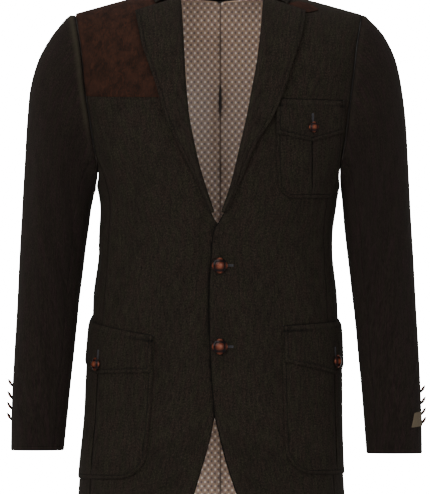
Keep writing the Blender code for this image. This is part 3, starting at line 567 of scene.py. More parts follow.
# beside an edge, each as a height and a half width: the groove that topstitching pulls in, the swell
# between it and the edge, the painted shade along the stitches, and how the wall thins at its rim
GROOVE, SWELL, STITCH_SHADE, THIN_RIM = (0.32, 0.7), (0.18, 1.8), (0.55, 0.8), (0.35, 0.8)
HEAD_MIDDLE, HEAD_HALF = 7.5, 4.5     # where the roll at a sleeve's top lies below the seam


def edge_drop(distance, kind, stitched):
    """How far the cloth sinks beside one edge: its roll, and the groove of its topstitching."""
    depth, reach, _ = EDGES[kind]
    drop = depth * bell(distance, reach)
    if stitched:
        drop = drop + GROOVE[0] * bell(distance - STITCH_IN, GROOVE[1]) \
            - SWELL[0] * bell(distance - STITCH_IN / 2, SWELL[1])
    return drop


def edge_painted_shade(distance, kind, stitched, level=0.0):
    """Painted shade beside one edge: at the seam itself and along its stitches."""
    painted_shade = EDGES[kind][2] * bell(distance, SHADE_REACH)
    if kind == "armhole":
        painted_shade = painted_shade * (0.25 + 0.75 * ramp(level, UNDERARM_TOP - 25, UNDERARM_TOP))
    return painted_shade + STITCH_SHADE[0] * bell(distance - STITCH_IN, STITCH_SHADE[1]) if stitched else painted_shade


def cloth(node, place, thickness, edges, outside, inside, stitched="", head=(0.0, 0.0), shade=0.0,
          slot="tweed", map_from=None, replaced=True):
    """One piece of cloth that stands for its solid.

    place gives the grid of points at an offset. edges are the kinds of its first row, last row, first column
    and last column, or else how far each point sinks and how much shade is painted there, and stitched holds
    the letters t, b, l, r of those with topstitching. head is the height of the roll beside the first row, as
    at the top of a sleeve, and how strong a painted highlight lies along it; shade is further painted shade
    at given points. map_from gives the cloth's own coordinates where they aren't the distances from its
    middle and its top."""
    base = place(np.zeros(()))
    across, down = lengths(base, 1), lengths(base, 0)
    far = {"t": down, "b": down[-1:] - down, "l": across, "r": across[:, -1:] - across}
    if isinstance(edges[0], str):
        marks = [(far[key], kind, key in stitched) for key, kind in zip("tblr", edges)]
        drop = sum(edge_drop(*mark) for mark in marks)
        painted_shade = sum(edge_painted_shade(*mark, base[..., 2]) for mark in marks)
    else:
        drop, painted_shade = edges
    if head[0]:
        roll = bell(down - HEAD_MIDDLE, HEAD_HALF)
        drop = drop - head[0] * roll
        # a painted highlight along the roll, above the underarm
        painted_shade = painted_shade - head[1] * roll * ramp(base[..., 2], UNDERARM_TOP - 10, UNDERARM_TOP + 60)
    thin = sum(-THIN_RIM[0] * bell(far[key], THIN_RIM[1]) for key in "tblr")
    outer, inner = place(-drop), place(-(thickness + thin))
    if map_from is None:
        map_from = np.stack([across - across[:, across.shape[1] // 2, None], -down], axis=-1)
    made = shell(node, outer, inner, map_from, outside, inside, painted_shade + shade)
    return finish_piece(made, node, slot, replaced), outer


def finish_piece(made, node, slot, replaced=True):
    """A piece rides on the body and stands for its solid, if it has one; its slot only picks the ending of
    its name.
    """
    made.name = made.data.name = node + ("_knot" if slot == "leather" else "_cloth")
    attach(made, "root")
    if replaced:
        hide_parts(node)
    return made


def thickened(node, middle, side, edges, outside, inside, stitched=""):
    """A piece of tweed about a grid of its middle points; side is the sign of the grid's normal."""
    normal = side * normals(middle)
    return cloth(node, lambda offset: middle + normal * np.asarray(TWEED / 2 + offset)[..., None],
                 TWEED, edges, outside, inside, stitched)


# ---------------------------------------------------------------- stitches

STITCH_LONG, STITCH_GAP, STITCH_THICK = 2.6, 0.9, 0.42


def grains(centres, along, outward, long, thick, high):
    """Many small spindles as one set of points and faces: six-sided rings at three places and two tips."""
    side = unit(np.cross(along, outward))
    up = np.cross(side, along)
    turn = np.linspace(0, 2 * math.pi, 7)[:-1]
    points = [centres - along * long / 2]
    for share, width in ((-0.34, 0.8), (0.0, 1.0), (0.34, 0.8)):
        for angle in turn:
            points.append(centres + along * long * share
                          + (side * math.cos(angle) * thick + up * math.sin(angle) * high) * width / 2)
    points.append(centres + along * long / 2)
    points = np.stack(points, axis=1)
    ring = np.arange(6)
    after = (ring + 1) % 6
    faces = [np.stack([np.zeros(6, int), 1 + after, 1 + ring, 1 + ring], axis=-1)]
    for base in (1, 7):
        faces.append(np.stack([base + ring, base + after, base + 6 + after, base + 6 + ring], axis=-1))
    faces.append(np.stack([13 + ring, 13 + after, np.full(6, 19), np.full(6, 19)], axis=-1))
    faces = np.concatenate(faces)
    count = len(centres)
    return points.reshape(-1, 3), (faces[None] + 20 * np.arange(count)[:, None, None]).reshape(-1, 4)


def spindles(name, parts, material):
    """One object of all spindles in parts, each a set of centres, directions, outward normals and sizes."""
    points, faces, count = [], [], 0
    for part in parts:
        made_points, made_faces = grains(*part)
        points.append(made_points)
        faces.append(made_faces + count)
        count += len(made_points)
    points, faces = np.concatenate(points), np.concatenate(faces)
    mesh = new_mesh(name, points, [list(dict.fromkeys(face)) for face in faces.tolist()])
    mesh.shade_smooth()
    mesh.materials.append(material)
    made = link(name, mesh)
    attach(made, "root")
    return made


def stitch_line(line, outward, sunk=0.12):
    """A row of topstitches on a line of points, with the cloth's outward normals along it."""
    pitch = STITCH_LONG + STITCH_GAP
    at = np.arange(pitch / 2, lengths(line, 0)[-1], pitch)
    points, ahead, behind = (at_distances(at + shift, line) for shift in (0.0, 0.2, -0.2))
    normal = unit(at_distances(at, line, outward))
    return points - normal * sunk, unit(ahead - behind), normal, STITCH_LONG, STITCH_THICK, STITCH_THICK * 0.8


def inset(grid, edge, side, distance=STITCH_IN):
    """Line on a grid at a distance from one edge (t, b, l or r), and the outward normals along it."""
    normal = side * normals(grid)
    if edge in "tb":
        grid, normal = np.swapaxes(grid, 0, 1), np.swapaxes(normal, 0, 1)
    if edge in "rb":
        grid, normal = grid[:, ::-1], normal[:, ::-1]
    far = lengths(grid, 1)
    place = np.array([np.interp(distance, row, np.arange(len(row))) for row in far])
    first = np.minimum(place.astype(int), grid.shape[1] - 2)
    share = (place - first)[:, None]
    index = np.arange(grid.shape[0])
    line = grid[index, first] * (1 - share) + grid[index, first + 1] * share
    return line, normal[index, first]


stitches, hole_stitches = [], []


# ---------------------------------------------------------------- materials

def colour(hexadecimal):
    """Linear colour of an sRGB hex code."""
    parts = [int(hexadecimal[k:k + 2], 16) / 255 for k in (1, 3, 5)]
    return (*(c / 12.92 if c <= 0.04045 else ((c + 0.055) / 1.055) ** 2.4 for c in parts), 1.0)


def add(tree, kind, inputs=None, **settings):
    """A shader node with its settings; an input is a value or another node's output."""
    made = tree.nodes.new("ShaderNode" + kind)
    for key, value in settings.items():
        setattr(made, key, value)
    for key, value in (inputs or {}).items():
        if isinstance(value, bpy.types.NodeSocket):
            tree.links.new(value, made.inputs[key])
        else:
            made.inputs[key].default_value = value
    return made


def maths(tree, operation, a, b=0.0):
    return add(tree, "Math", {0: a, 1: b}, operation=operation).outputs[0]


def blend(tree, share, a, b, how="MIX"):
    """Mix of two colours by a share."""
    return add(tree, "MixRGB", {"Fac": share, "Color1": a, "Color2": b}, blend_type=how).outputs[0]


def steps(tree, value, low, high):
    """0 below low, 1 above high, smooth between."""
    made = add(tree, "MapRange", {"Value": value, "From Min": low, "From Max": high},
               interpolation_type="SMOOTHSTEP")
    return made.outputs["Result"]


def tinted(tree, ground, value, low, high, share, tint):
    """A ground with a share of a tint where a value passes from low to high."""
    return blend(tree, maths(tree, "MULTIPLY", steps(tree, value, low, high), share), ground, tint)


def millimetres(tree, stretch=(1.0, 1.0)):
    """The cloth's own coordinates, in millimetres along its weft and warp."""
    uv = add(tree, "UVMap", uv_map="cloth").outputs["UV"]
    scale = (stretch[0] / MM, stretch[1] / MM, 1.0)
    return add(tree, "Mapping", {"Vector": uv, "Scale": scale}).outputs["Vector"]


def noise(tree, place, scale, detail=3.0, roughness=0.55, distortion=0.0):
    return add(tree, "TexNoise", {"Vector": place, "Scale": scale, "Detail": detail, "Roughness": roughness,
                                  "Distortion": distortion}).outputs["Fac"]


def material(name, roughness, sheen=0.0, sheen_roughness=0.5, sheen_tint="#ffffff", specular=0.5):
    """A principled material with its constants set on the shader's own sockets."""
    made = bpy.data.materials.new(name)
    made.use_nodes = True
    tree = made.node_tree
    shader = tree.nodes["Principled BSDF"]
    shader.inputs["Roughness"].default_value = roughness
    shader.inputs["Specular IOR Level"].default_value = specular
    shader.inputs["Sheen Weight"].default_value = sheen
    shader.inputs["Sheen Roughness"].default_value = sheen_roughness
    shader.inputs["Sheen Tint"].default_value = colour(sheen_tint)
    return made, tree, shader


def surface(tree, shader, ground, height, distance):
    """Gives a material its colour and its relief, which is a height times a distance in millimetres."""
    tree.links.new(ground, shader.inputs["Base Color"])
    made = add(tree, "Bump", {"Height": height, "Distance": distance * MM, "Strength": 1.0})
    tree.links.new(made.outputs["Normal"], shader.inputs["Normal"])


def painted_shade_value(tree):
    """The shade painted on the cloth's own points: painted shade above zero, a painted highlight below it."""
    return add(tree, "Attribute", attribute_name="painted_shade").outputs["Fac"]


def tweed(name, dark, light, olive, plum):
    """Woollen tweed: a diagonal twill of about 1.6 mm, yarns of mixed colours, flecks of a few millimetres,
    pale hairs and faint large patches; painted shade darkens it towards black, and below zero it is a painted
    highlight along a roll."""
    made, tree, shader = material(name, 0.95, sheen=0.02, sheen_roughness=0.45, sheen_tint="#b9ac98",
                                  specular=0.06)
    place = millimetres(tree)
    twill = add(tree, "TexWave", {"Vector": place, "Scale": 0.27, "Distortion": 1.6, "Detail": 2.0,
                                  "Detail Scale": 1.4},
                wave_type="BANDS", bands_direction="DIAGONAL").outputs["Fac"]
    yarn = noise(tree, millimetres(tree, (1.0, 0.45)), 1.15, 4.0, 0.7)
    hair = noise(tree, millimetres(tree, (0.35, 1.0)), 2.3, 3.0, 0.7, 0.8)
    patch = noise(tree, millimetres(tree, (1.0, 0.5)), 0.022, 3.0, 0.6)
    tint = noise(tree, millimetres(tree, (1.0, 0.3)), 0.11, 2.0, 0.5)
    ground = blend(tree, steps(tree, yarn, 0.36, 0.66), dark, light)
    ground = blend(tree, maths(tree, "MULTIPLY", twill, 0.35), ground, dark)
    ground = tinted(tree, ground, tint, 0.46, 0.62, 0.28, olive)
    ground = tinted(tree, ground, tint, 0.5, 0.36, 0.28, plum)
    ground = tinted(tree, ground, hair, 0.6, 0.72, 0.6, colour("#413a30"))
    ground = tinted(tree, ground, patch, 0.42, 0.66, 0.28, dark)
    fleck = noise(tree, millimetres(tree, (1.0, 0.8)), 0.5, 3.0, 0.75)
    streak = noise(tree, millimetres(tree, (1.0, 0.16)), 0.3, 2.0, 0.6)
    shade = maths(tree, "ADD", maths(tree, "MULTIPLY", steps(tree, fleck, 0.36, 0.66), 1.05), 0.32)
    shade = maths(tree, "ADD", shade, maths(tree, "MULTIPLY", steps(tree, streak, 0.36, 0.64), 0.36))
    ground = blend(tree, 1.0, ground, shade, "MULTIPLY")
    # painted highlight: below zero the painted value lightens the cloth along a sleeve's head roll
    painted_highlight = maths(tree, "MAXIMUM", maths(tree, "MULTIPLY", painted_shade_value(tree), -1.0), 0.0)
    ground = blend(tree, painted_highlight, ground, colour("#2d2a20"))
    # painted shade: above zero the painted value darkens the cloth towards near black at seams, edges,
    # stitches, creases and the lap line
    flat = maths(tree, "MAXIMUM", maths(tree, "MULTIPLY", painted_shade_value(tree), 0.85), 0.0)
    ground = blend(tree, maths(tree, "MINIMUM", flat, 0.9), ground, colour("#020202"))
    height = maths(tree, "ADD", maths(tree, "MULTIPLY", twill, 0.6), maths(tree, "MULTIPLY", yarn, 0.9))
    surface(tree, shader, ground, maths(tree, "ADD", height, maths(tree, "MULTIPLY", hair, 0.5)), 0.35)
    return made


def suede():
    """Brown suede: brushed nap in cloudy light and dark patches, with a short fine grain."""
    made, tree, shader = material("suede", 0.9, sheen=0.03, sheen_roughness=0.4, sheen_tint="#8a5a44",
                                  specular=0.06)
    place = millimetres(tree)
    cloud = noise(tree, place, 0.045, 5.0, 0.65, 0.6)
    brush = noise(tree, millimetres(tree, (1.0, 0.5)), 0.16, 4.0, 0.7, 1.0)
    nap = noise(tree, place, 2.2, 3.0, 0.7)
    grain = noise(tree, millimetres(tree, (1.0, 0.25)), 0.8, 3.0, 0.7)
    ground = blend(tree, steps(tree, cloud, 0.34, 0.62), colour("#120b08"), colour("#24150f"))
    ground = tinted(tree, ground, brush, 0.5, 0.68, 0.45, colour("#381f15"))
    ground = tinted(tree, ground, brush, 0.47, 0.34, 0.5, colour("#100b08"))
    ground = tinted(tree, ground, grain, 0.48, 0.66, 0.45, colour("#301b13"))
    ground = blend(tree, maths(tree, "MULTIPLY", nap, 0.3), ground, colour("#1a0f0b"))
    surface(tree, shader, ground, maths(tree, "ADD", nap, maths(tree, "MULTIPLY", brush, 0.8)), 0.3)
    return made


LATTICE = (10.35, 12.6)      # repeat of the lining's print across and down, two staggered rows of spots


def printed_lining():
    """Satin lining with a staggered print: cream spots with plum ones between, on tan with a pink cast.

    The print is the product of a cosine across and one down: its peaks make the cream spots, its dips the
    plum ones, each with a small pale middle."""
    made, tree, shader = material("printed_lining", 0.42, sheen=0.1, specular=0.35)
    place = add(tree, "SeparateXYZ", {"Vector": millimetres(tree)})
    wobble = noise(tree, millimetres(tree), 0.35, 2.0)
    shift = maths(tree, "MULTIPLY", wobble, 1.2)

    def wave(value, repeat):
        return maths(tree, "COSINE", maths(tree, "MULTIPLY", value, 2 * math.pi / repeat))

    across = wave(maths(tree, "ADD", place.outputs["X"], shift), LATTICE[0])
    spots = maths(tree, "MULTIPLY", across, wave(place.outputs["Y"], LATTICE[1]))
    finer = maths(tree, "MULTIPLY", wave(place.outputs["X"], LATTICE[0] / 2),
                  wave(place.outputs["Y"], LATTICE[1] / 2))
    spotted = maths(tree, "ADD", spots, maths(tree, "MULTIPLY", finer, 0.22))
    ground = blend(tree, steps(tree, wobble, 0.4, 0.62), colour("#a3866a"), colour("#977c72"))
    ground = blend(tree, steps(tree, spotted, 0.42, 0.8), ground, colour("#d9c8bb"))
    ground = tinted(tree, ground, spotted, -0.36, -0.8, 0.8, colour("#524549"))
    # painted shade: near black along the centre seam and where it gapes
    ground = blend(tree, maths(tree, "MINIMUM", painted_shade_value(tree), 0.95), ground, colour("#0b0706"))
    surface(tree, shader, ground, noise(tree, millimetres(tree, (1.0, 0.2)), 1.6, 2.0), 0.08)
    return made


def plain_lining():
    """Plain dark satin inside the fronts and sleeves, with fine warp lines."""
    made, tree, shader = material("plain_lining", 0.4, sheen=0.1, specular=0.4)
    warp = noise(tree, millimetres(tree, (1.0, 0.1)), 1.8, 2.0)
    surface(tree, shader, blend(tree, warp, colour("#151210"), colour("#1f1b17")), warp, 0.08)
    return made


def thread(name, hexadecimal):
    """Matt sewing thread, a little uneven in colour."""
    made, tree, shader = material(name, 0.85, specular=0.1)
    place = add(tree, "TexCoord").outputs["Object"]
    mixed = noise(tree, place, 900.0, 2.0)
    dark = tuple(0.6 * c for c in colour(hexadecimal)[:3]) + (1.0,)
    tree.links.new(blend(tree, mixed, dark, colour(hexadecimal)), shader.inputs["Base Color"])
    return made


def knotted_leather():
    """Polished chestnut leather strips: near black in the gaps of the knot, which is painted shade, and
    lighter on their crowns.
    """
    made, tree, shader = material("knotted_leather", 0.22, specular=0.08)
    shader.inputs["Coat Weight"].default_value = 0.02
    shader.inputs["Coat Roughness"].default_value = 0.16
    crown = add(tree, "Attribute", attribute_name="crown").outputs["Fac"]
    place = add(tree, "TexCoord").outputs["Object"]
    grain = noise(tree, place, 1400.0, 3.0)
    cloud = noise(tree, place, 220.0, 3.0)
    # painted shade: the colour falls to near black in the gaps between the strips and lightens towards their
    # crowns
    ground = blend(tree, steps(tree, crown, 0.45, 0.92), colour("#040101"), colour("#3c1a10"))
    ground = tinted(tree, ground, crown, 0.82, 1.0, 0.7, colour("#6b3a28"))
    ground = tinted(tree, ground, cloud, 0.45, 0.65, 0.4, colour("#1d0a06"))
    surface(tree, shader, ground, grain, 0.06)
    return made


def woven_label():
    """A small bare label: fine ribs of khaki and grey thread."""
    made, tree, shader = material("woven_label", 0.85, specular=0.1)
    place = millimetres(tree)
    ribs = add(tree, "TexWave", {"Vector": place, "Scale": 0.62, "Distortion": 0.3},
               bands_direction="Y").outputs["Fac"]
    warp = noise(tree, place, 0.5, 3.0)
    ground = blend(tree, warp, colour("#423a30"), colour("#5e523f"))
    ground = blend(tree, maths(tree, "MULTIPLY", ribs, 0.5), ground, colour("#463e35"))
    surface(tree, shader, ground, ribs, 0.12)
    return made


BODY_TWEED = tweed("tweed_body", colour("#110e0b"), colour("#231d18"), colour("#1a1b11"), colour("#1d1411"))
SLEEVE_TWEED = tweed("tweed_sleeves", colour("#100c0a"), colour("#1f1815"), colour("#15140d"),
                     colour("#1e1214"))
SUEDE, PRINTED, PLAIN, LEATHER = suede(), printed_lining(), plain_lining(), knotted_leather()
THREAD, HOLE_THREAD = thread("thread", "#0c0a08"), thread("buttonhole_thread", "#38373a")
LABEL_CLOTH = woven_label()


# ---------------------------------------------------------------- body

def seam_angle(side, towards):
    """The seams' angle on one side, moved off the seam by half its gap towards the front or the back."""
    return side * math.radians(SEAM_ANGLE) + side * towards * SEAM / 2 / SIDE_RADIUS


def columns(first, last, width, edges=(True, True)):
    """Angles from a first to a last one on every row, spaced by the lines of the piece's widest row."""
    at = lines(width, edges=edges) / width
    return first[:, None] + (last - first)[:, None] * at


def to_ridge(angle, rows):
    """The same rows, with the first one brought up to the ridge of the shoulder seam."""
    rows = np.array(rows)
    rows[0] *= np.minimum(1, RIDGE_Y / np.abs(face(angle[0], rows[0])[..., 1]))
    return rows


LAP_SHADE, LAP_HALF = 0.9, 1.6    # painted shadow: the dark line where one front laps over the other, and its half width


def underlap(x, level):
    """How far the right front lies back under the left one, from the break down."""
    return -RIGHT_UNDERLAP * ramp(x, *UNDERLAP_X) * ramp(level, *UNDERLAP_LEVEL)


def front(side):
    """One front, from its roll line and button edge round to the side seam and the armhole."""
    row = rows_between(FIRST_ROW, BODY.last)
    level = BODY.at("level", row)
    inner = angle_at(EDGE.at(WORD[side], EDGE.row_of("level", level)), row)
    angle = columns(inner, np.full_like(inner, seam_angle(side, -1)), 215.0)
    rows = to_ridge(angle, np.broadcast_to(row[:, None], angle.shape))
    x = face(angle, rows)[..., 0]
    lap = EDGE.at("left", EDGE.row_of("level", level))[:, None]
    # painted shadow along the left front's edge, on both fronts, from the break down
    shade = LAP_SHADE * bell(x - lap, LAP_HALF) * ramp(level, *UNDERLAP_LEVEL)[:, None]
    under = underlap(x, level[:, None]) if side == RIGHT else np.zeros_like(angle)
    made, _ = cloth("front_" + WORD[side], lambda offset: skin(angle, rows, under + offset), TWEED,
                    ("seam", "turned", "turned", "armhole"), BODY_TWEED, PLAIN, shade=shade)
    edge_stitches(side)


LAPEL_END = -341.0           # the front edges' topstitching starts below the lapels


def edge_stitches(side):
    """Topstitching along a front's button edge and cutaway, a little in from the edge."""
    low = np.linspace(LAPEL_END, HEM + 0.2, 400)
    x = EDGE.at(WORD[side], EDGE.row_of("level", low))
    line = np.stack([x, low], axis=-1)
    ahead = unit(np.gradient(line, axis=0))
    inward = np.stack([-ahead[:, 1], ahead[:, 0]], axis=-1) * side
    line = line + inward * STITCH_IN
    line = line[line[:, 1] > HEM + STITCH_IN]
    under = underlap(line[:, 0], line[:, 1]) * (side == RIGHT)
    points = front_point(line[:, 0], line[:, 1], under)
    stitches.append(stitch_line(points, front_point(line[:, 0], line[:, 1], under + 1.0) - points, 0.4))


def armhole_level(angle_deg):
    """Height of the armhole's lower edge at an angle between the two seams."""
    reach = np.clip((90.0 - angle_deg) / (90.0 - SEAM_ANGLE), -1, 1)
    return UNDERARM_TOP - UNDERARM_DIP * np.sqrt(1 - reach ** 2)


def side_panel(side):
    """From the armhole's lower edge to the hem; the rows settle to level ones below the underarm."""
    width = 2 * (90.0 - SEAM_ANGLE)
    turn = np.arccos(1 - 2 * lines(105.0) / 105.0)
    angle_deg = 90.0 - width / 2 * np.cos(turn)
    top = armhole_level(angle_deg)
    low = -lines(-HEM + UNDERARM_TOP)[:, None] + UNDERARM_TOP
    share = np.clip((low - SETTLED) / (UNDERARM_TOP - SETTLED), 0, 1)
    row = BODY.row_of("level", np.where(share > 0, SETTLED + (top - SETTLED) * share, low))
    angle = side * np.radians(angle_deg)
    angle[0], angle[-1] = seam_angle(side, 1), side * math.pi - seam_angle(side, 1)
    angle = np.broadcast_to(angle, row.shape)
    made, _ = cloth("side_" + WORD[side], lambda offset: skin(angle, row, offset), TWEED,
                    ("seam", "turned", "seam", "seam"), BODY_TWEED, PLAIN)


NECK_BACK_LEVEL = -17.0      # the back's neck edge at the centre
LINING_SHORT, LINING_PAST_SEAM, LINING_TOP_ROW = 12.0, 0.03, 1.0
NECK_BACK = Table("level half", [(0, 75), (-3.4, 70), (-8.2, 56), (-13.6, 34), (NECK_BACK_LEVEL, 0.2)])


def back_columns(side, row, shift=0.0, gap=SEAM / 2):
    """Angles of one half of the back, from the centre seam, shifted below the neck, to the side seam."""
    neck = NECK_BACK.at("half", NECK_BACK.row_of("level", BODY.at("level", row)))
    x = side * np.maximum(neck, gap) + shift * np.clip(1 - neck / 10.0, 0, 1)
    centre = side * math.pi - np.arcsin(x / BODY.at(WORD[side], row))
    return columns(centre, np.full_like(centre, side * math.pi - seam_angle(side, -1)), 225.0)


def back(side):
    """One half of the back, from its centre seam round to the side seam and the armhole."""
    row = rows_between(FIRST_ROW, BODY.last, math.radians(150))
    angle = back_columns(side, row)
    rows = to_ridge(angle, np.broadcast_to(row[:, None], angle.shape))
    made, _ = cloth("back_" + WORD[side], lambda offset: skin(angle, rows, offset), TWEED,
                    ("seam", "turned", "seam", "armhole"), BODY_TWEED, PLAIN)


LINING_SEAM_X = 2.0          # its centre seam, a little to the wearer's left
SLIT = (-165.0, 20.0, 0.4)   # where that seam gapes: height, half length and half width
LINING_EASE = 1.5            # height of the loose cloth beside it


def back_lining(side):
    """The back's printed lining, just inside it and a little short of the hem, with an ease pleat."""
    last = BODY.row_of("level", HEM + LINING_SHORT)
    row = rows_between(LINING_TOP_ROW, last, math.radians(150), edges=(False, True))
    level = BODY.at("level", row)
    gape = SLIT[2] * np.exp(-((level - SLIT[0]) / SLIT[1]) ** 4)
    angle = back_columns(side, row, LINING_SEAM_X, SEAM / 2 + gape)
    angle[:, -1] += side * LINING_PAST_SEAM
    rows = np.broadcast_to(row[:, None], angle.shape)
    across = lengths(face(angle, rows), 1)
    loose = 0.55 + 0.45 * np.sin(level / 23.0 + side) + 0.8 * bell(level - SLIT[0], 40.0)
    pleat = LINING_EASE * loose[:, None] * bell(across - 5.0, 4.0)
    # painted shade along the centre seam, darker where it gapes, with a faint band of painted shade beside it
    # that comes and goes down the back
    seam = bell(across, 1.3) * (0.5 + 2.0 * gape)[:, None] + 0.5 * bell(across, 5.0) * gape[:, None] \
        + bell(across, 6.0) * (0.22 * np.clip(np.sin(level / 15.0 + 0.9), 0, 1))[:, None]
    made, _ = cloth("lining_" + WORD[side],
                    lambda offset: skin(angle, rows, offset - pleat - TWEED - LINING_GAP), LINING,
                    (0 * seam, seam), PRINTED, PRINTED, slot="lining",
                    map_from=np.stack([face(angle, rows)[..., 0], BODY.at("level", rows)], axis=-1))


# ---------------------------------------------------------------- lapels, collar, patch and tab

def lapel(side):
    """The lapel rolls round the front's edge and lies back over it to its outer edge."""
    word = WORD[side]
    rows = np.linspace(0, LAPEL.last, 96)
    roll_x, edge_x = LAPEL.at("roll_" + word, rows), LAPEL.at("edge_" + word, rows)
    roll_z, edge_z = LAPEL.at("roll_level", rows), LAPEL.at("edge_level", rows)
    lift = LAPEL.at("lift", rows)
    width = np.hypot(edge_x - roll_x, edge_z - roll_z)
    knots = [(np.minimum(distance, 0.3 * width) / width, height + share * lift)
             for distance, height, share in LAPEL_ROLL]
    knots += [(np.full_like(rows, reach), TWEED / 2 + share * lift) for reach, share in LAPEL_FLAT]
    middle = np.stack([front_point(roll_x + (edge_x - roll_x) * reach, roll_z + (edge_z - roll_z) * reach,
                                   height) for reach, height in knots], axis=1)
    made, outer = thickened("lapel_" + word, smooth(middle, 6), side,
                            ("seam", "turned", "hidden", "flat" if side == LEFT else "turned"),
                            BODY_TWEED, BODY_TWEED, "r")
    stitches.append(stitch_line(*inset(outer, "r", side)))


def over(x, y):
    """BODY angle and row of the skin above a place in plan, near the shoulders."""
    row = np.full(np.shape(x), 2.0)
    for _ in range(12):
        half = np.where(x > 0, BODY.at("left", row), BODY.at("right", row))
        sine = np.clip(x / half, -1, 1)
        depth = np.abs(y) / np.sqrt(1 - sine ** 2) ** SECTION_SQUARE
        row = np.where(y < 0, BODY.row_of("front", np.minimum(depth, DEEPEST_FRONT)),
                       BODY.row_of("back", np.minimum(depth, DEEPEST_BACK)))
    angle = np.arcsin(sine)
    return np.where(y < 0, angle, np.where(x > 0, math.pi, -math.pi) - angle), row


def neckline(share):
    """The body's neck edge from the right gorge round the back to the left gorge, share 0 to 1."""
    points = []
    for side in (RIGHT, LEFT):
        low = np.linspace(GORGE_LEVEL, 0, 12)
        front_row = np.maximum(BODY.row_of("level", low), FIRST_ROW)
        ahead = face(angle_at(EDGE.at(WORD[side], EDGE.row_of("level", low)), front_row), front_row)
        low = np.linspace(0, NECK_BACK_LEVEL, 20)
        back_row = np.maximum(BODY.row_of("level", low), FIRST_ROW)
        half = side * NECK_BACK.at("half", NECK_BACK.row_of("level", low))
        run = np.concatenate([ahead, face(angle_at(half, back_row, back=True), back_row)])
        points.append(run if side == RIGHT else run[::-1])
    line = np.concatenate(points)
    return at_distances(share * lengths(line, 0)[-1], line)


def collar():
    """The stand rises from the neck edge to the fold, and the leaf falls outside it onto the shoulders."""
    across = np.concatenate([-1 + lines(240.0, edges=(True, False)) / 240.0,
                             1 - lines(240.0, edges=(True, False))[-2::-1] / 240.0])
    side = np.where(across < 0, -1.0, 1.0)
    rows = (1 - np.abs(across)) * COLLAR.last
    stand = neckline((across + 1) / 2)
    inwards = np.array([*NECK_MIDDLE, 0.0]) - stand
    inwards[:, 2] = 0
    stand = stand + STAND_INWARDS * unit(inwards)
    stand[:, 2] += STAND_RISE
    fold = np.stack([COLLAR_CENTRE + side * COLLAR.at("fold_x", rows), COLLAR.at("fold_y", rows),
                     COLLAR.at("fold_z", rows)], axis=-1)
    leaf_x = COLLAR_CENTRE + side * COLLAR.at("leaf_x", rows)
    leaf = skin(*over(leaf_x, COLLAR.at("leaf_y", rows)), COLLAR_LIFT)
    outward = leaf - fold
    outward[:, 2] = 0
    outward = unit(outward)
    rise = np.array([0, 0, 1.0])
    fall = (fold - leaf)[:, 2:]
    profile = [stand + up * (fold - stand) + down * (leaf - fold) + out * outward
               + (lift + share * fall) * rise for up, down, out, lift, share in COLLAR_PROFILE]
    made, outer = thickened("collar", smooth(np.stack(profile, axis=1)[::-1], 6), 1,
                            ("turned", "turned", "hidden", "turned"), BODY_TWEED, BODY_TWEED, "tbr")
    for edge in "tbr":
        stitches.append(stitch_line(*inset(outer, edge, 1)))


PATCH_BOTTOM = (-163.0, -165.5)    # height of the patch's lower edge at the armhole and at the lapel
PATCH_UNDER_LAPEL = 26.0           # how far its edge lies past the roll line
PATCH_INSET = 0.012                # angle kept clear of the armhole seam
PATCH_ARM_X = -199.0               # its lower corner at the armhole


def gun_patch():
    """Suede over the wearer's right shoulder, from the armhole to under the lapel."""
    lapel_x = EDGE.at("right", EDGE.row_of("level", PATCH_BOTTOM[1])) - PATCH_UNDER_LAPEL
    lower_row = row_at(np.array([PATCH_ARM_X, lapel_x]), np.array(PATCH_BOTTOM))
    down = (lines(185.0) / 185.0)[:, None]
    row = FIRST_ROW + (lower_row - FIRST_ROW) * down
    edge_x = EDGE.at("right", EDGE.row_of("level", BODY.at("level", row[:, 1]))) - PATCH_UNDER_LAPEL
    first = np.full(len(row), -math.radians(SEAM_ANGLE) + PATCH_INSET)
    angle = columns(first, angle_at(edge_x, row[:, 1]), 110.0)
    across = lines(110.0) / 110.0
    rows = row[:, :1] + (row[:, 1:] - row[:, :1]) * across
    made, outer = cloth("gun_patch", lambda offset: skin(angle, rows, STACK + PATCH_SUEDE + offset),
                        PATCH_SUEDE, ("seam", "turned", "turned", "hidden"), SUEDE, SUEDE, slot="suede")
    stitches.append(stitch_line(*inset(outer, "b", 1, 3.2)))


TAB = dict(tip=(101.0, -26.0), end=(149.0, -34.5), half=7.5)   # X and Z of the tab's two points


def throat_tab():
    """A suede lens in the notch of the left lapel, under the collar."""
    along = np.linspace(0.02, 0.98, 40)[:, None]
    across = np.linspace(-1, 1, 16)
    x = TAB["tip"][0] + (TAB["end"][0] - TAB["tip"][0]) * along + 0 * across
    z = TAB["tip"][1] + (TAB["end"][1] - TAB["tip"][1]) * along + TAB["half"] * np.sin(np.pi * along) * across
    made, _ = cloth("throat_tab", lambda offset: front_point(x, z, STACK + PATCH_SUEDE + offset), PATCH_SUEDE,
                    ("hidden",) * 4, SUEDE, SUEDE, slot="suede")


# ---------------------------------------------------------------- sleeves

ARMHOLE_EASE, LINE_POINTS, SETTLE_ROWS = 0.045, 60, 4.5


def armhole_loop(side, turn):
    """The armhole's edge, turn from 0 at the shoulder through pi at the underarm; negative is the back."""
    angle_deg = 90.0 - (90.0 - SEAM_ANGLE) * np.cos(np.linspace(0, math.pi / 2, 20))[1:]
    upper = np.linspace(FIRST_ROW, BODY.row_of("level", UNDERARM_TOP), LINE_POINTS)
    angle = np.concatenate([np.full(LINE_POINTS, SEAM_ANGLE), angle_deg])
    row = np.concatenate([upper, BODY.row_of("level", armhole_level(angle_deg))])
    ahead, behind = face(side * np.radians(angle), row), face(side * np.radians(180 - angle), row)
    share = np.abs(turn) / math.pi
    share = share - ARMHOLE_EASE * np.sin(2 * math.pi * share)
    return np.where((turn >= 0)[..., None],
                    *(at_distances(share * lengths(line, 0)[-1], line) for line in (ahead, behind)))


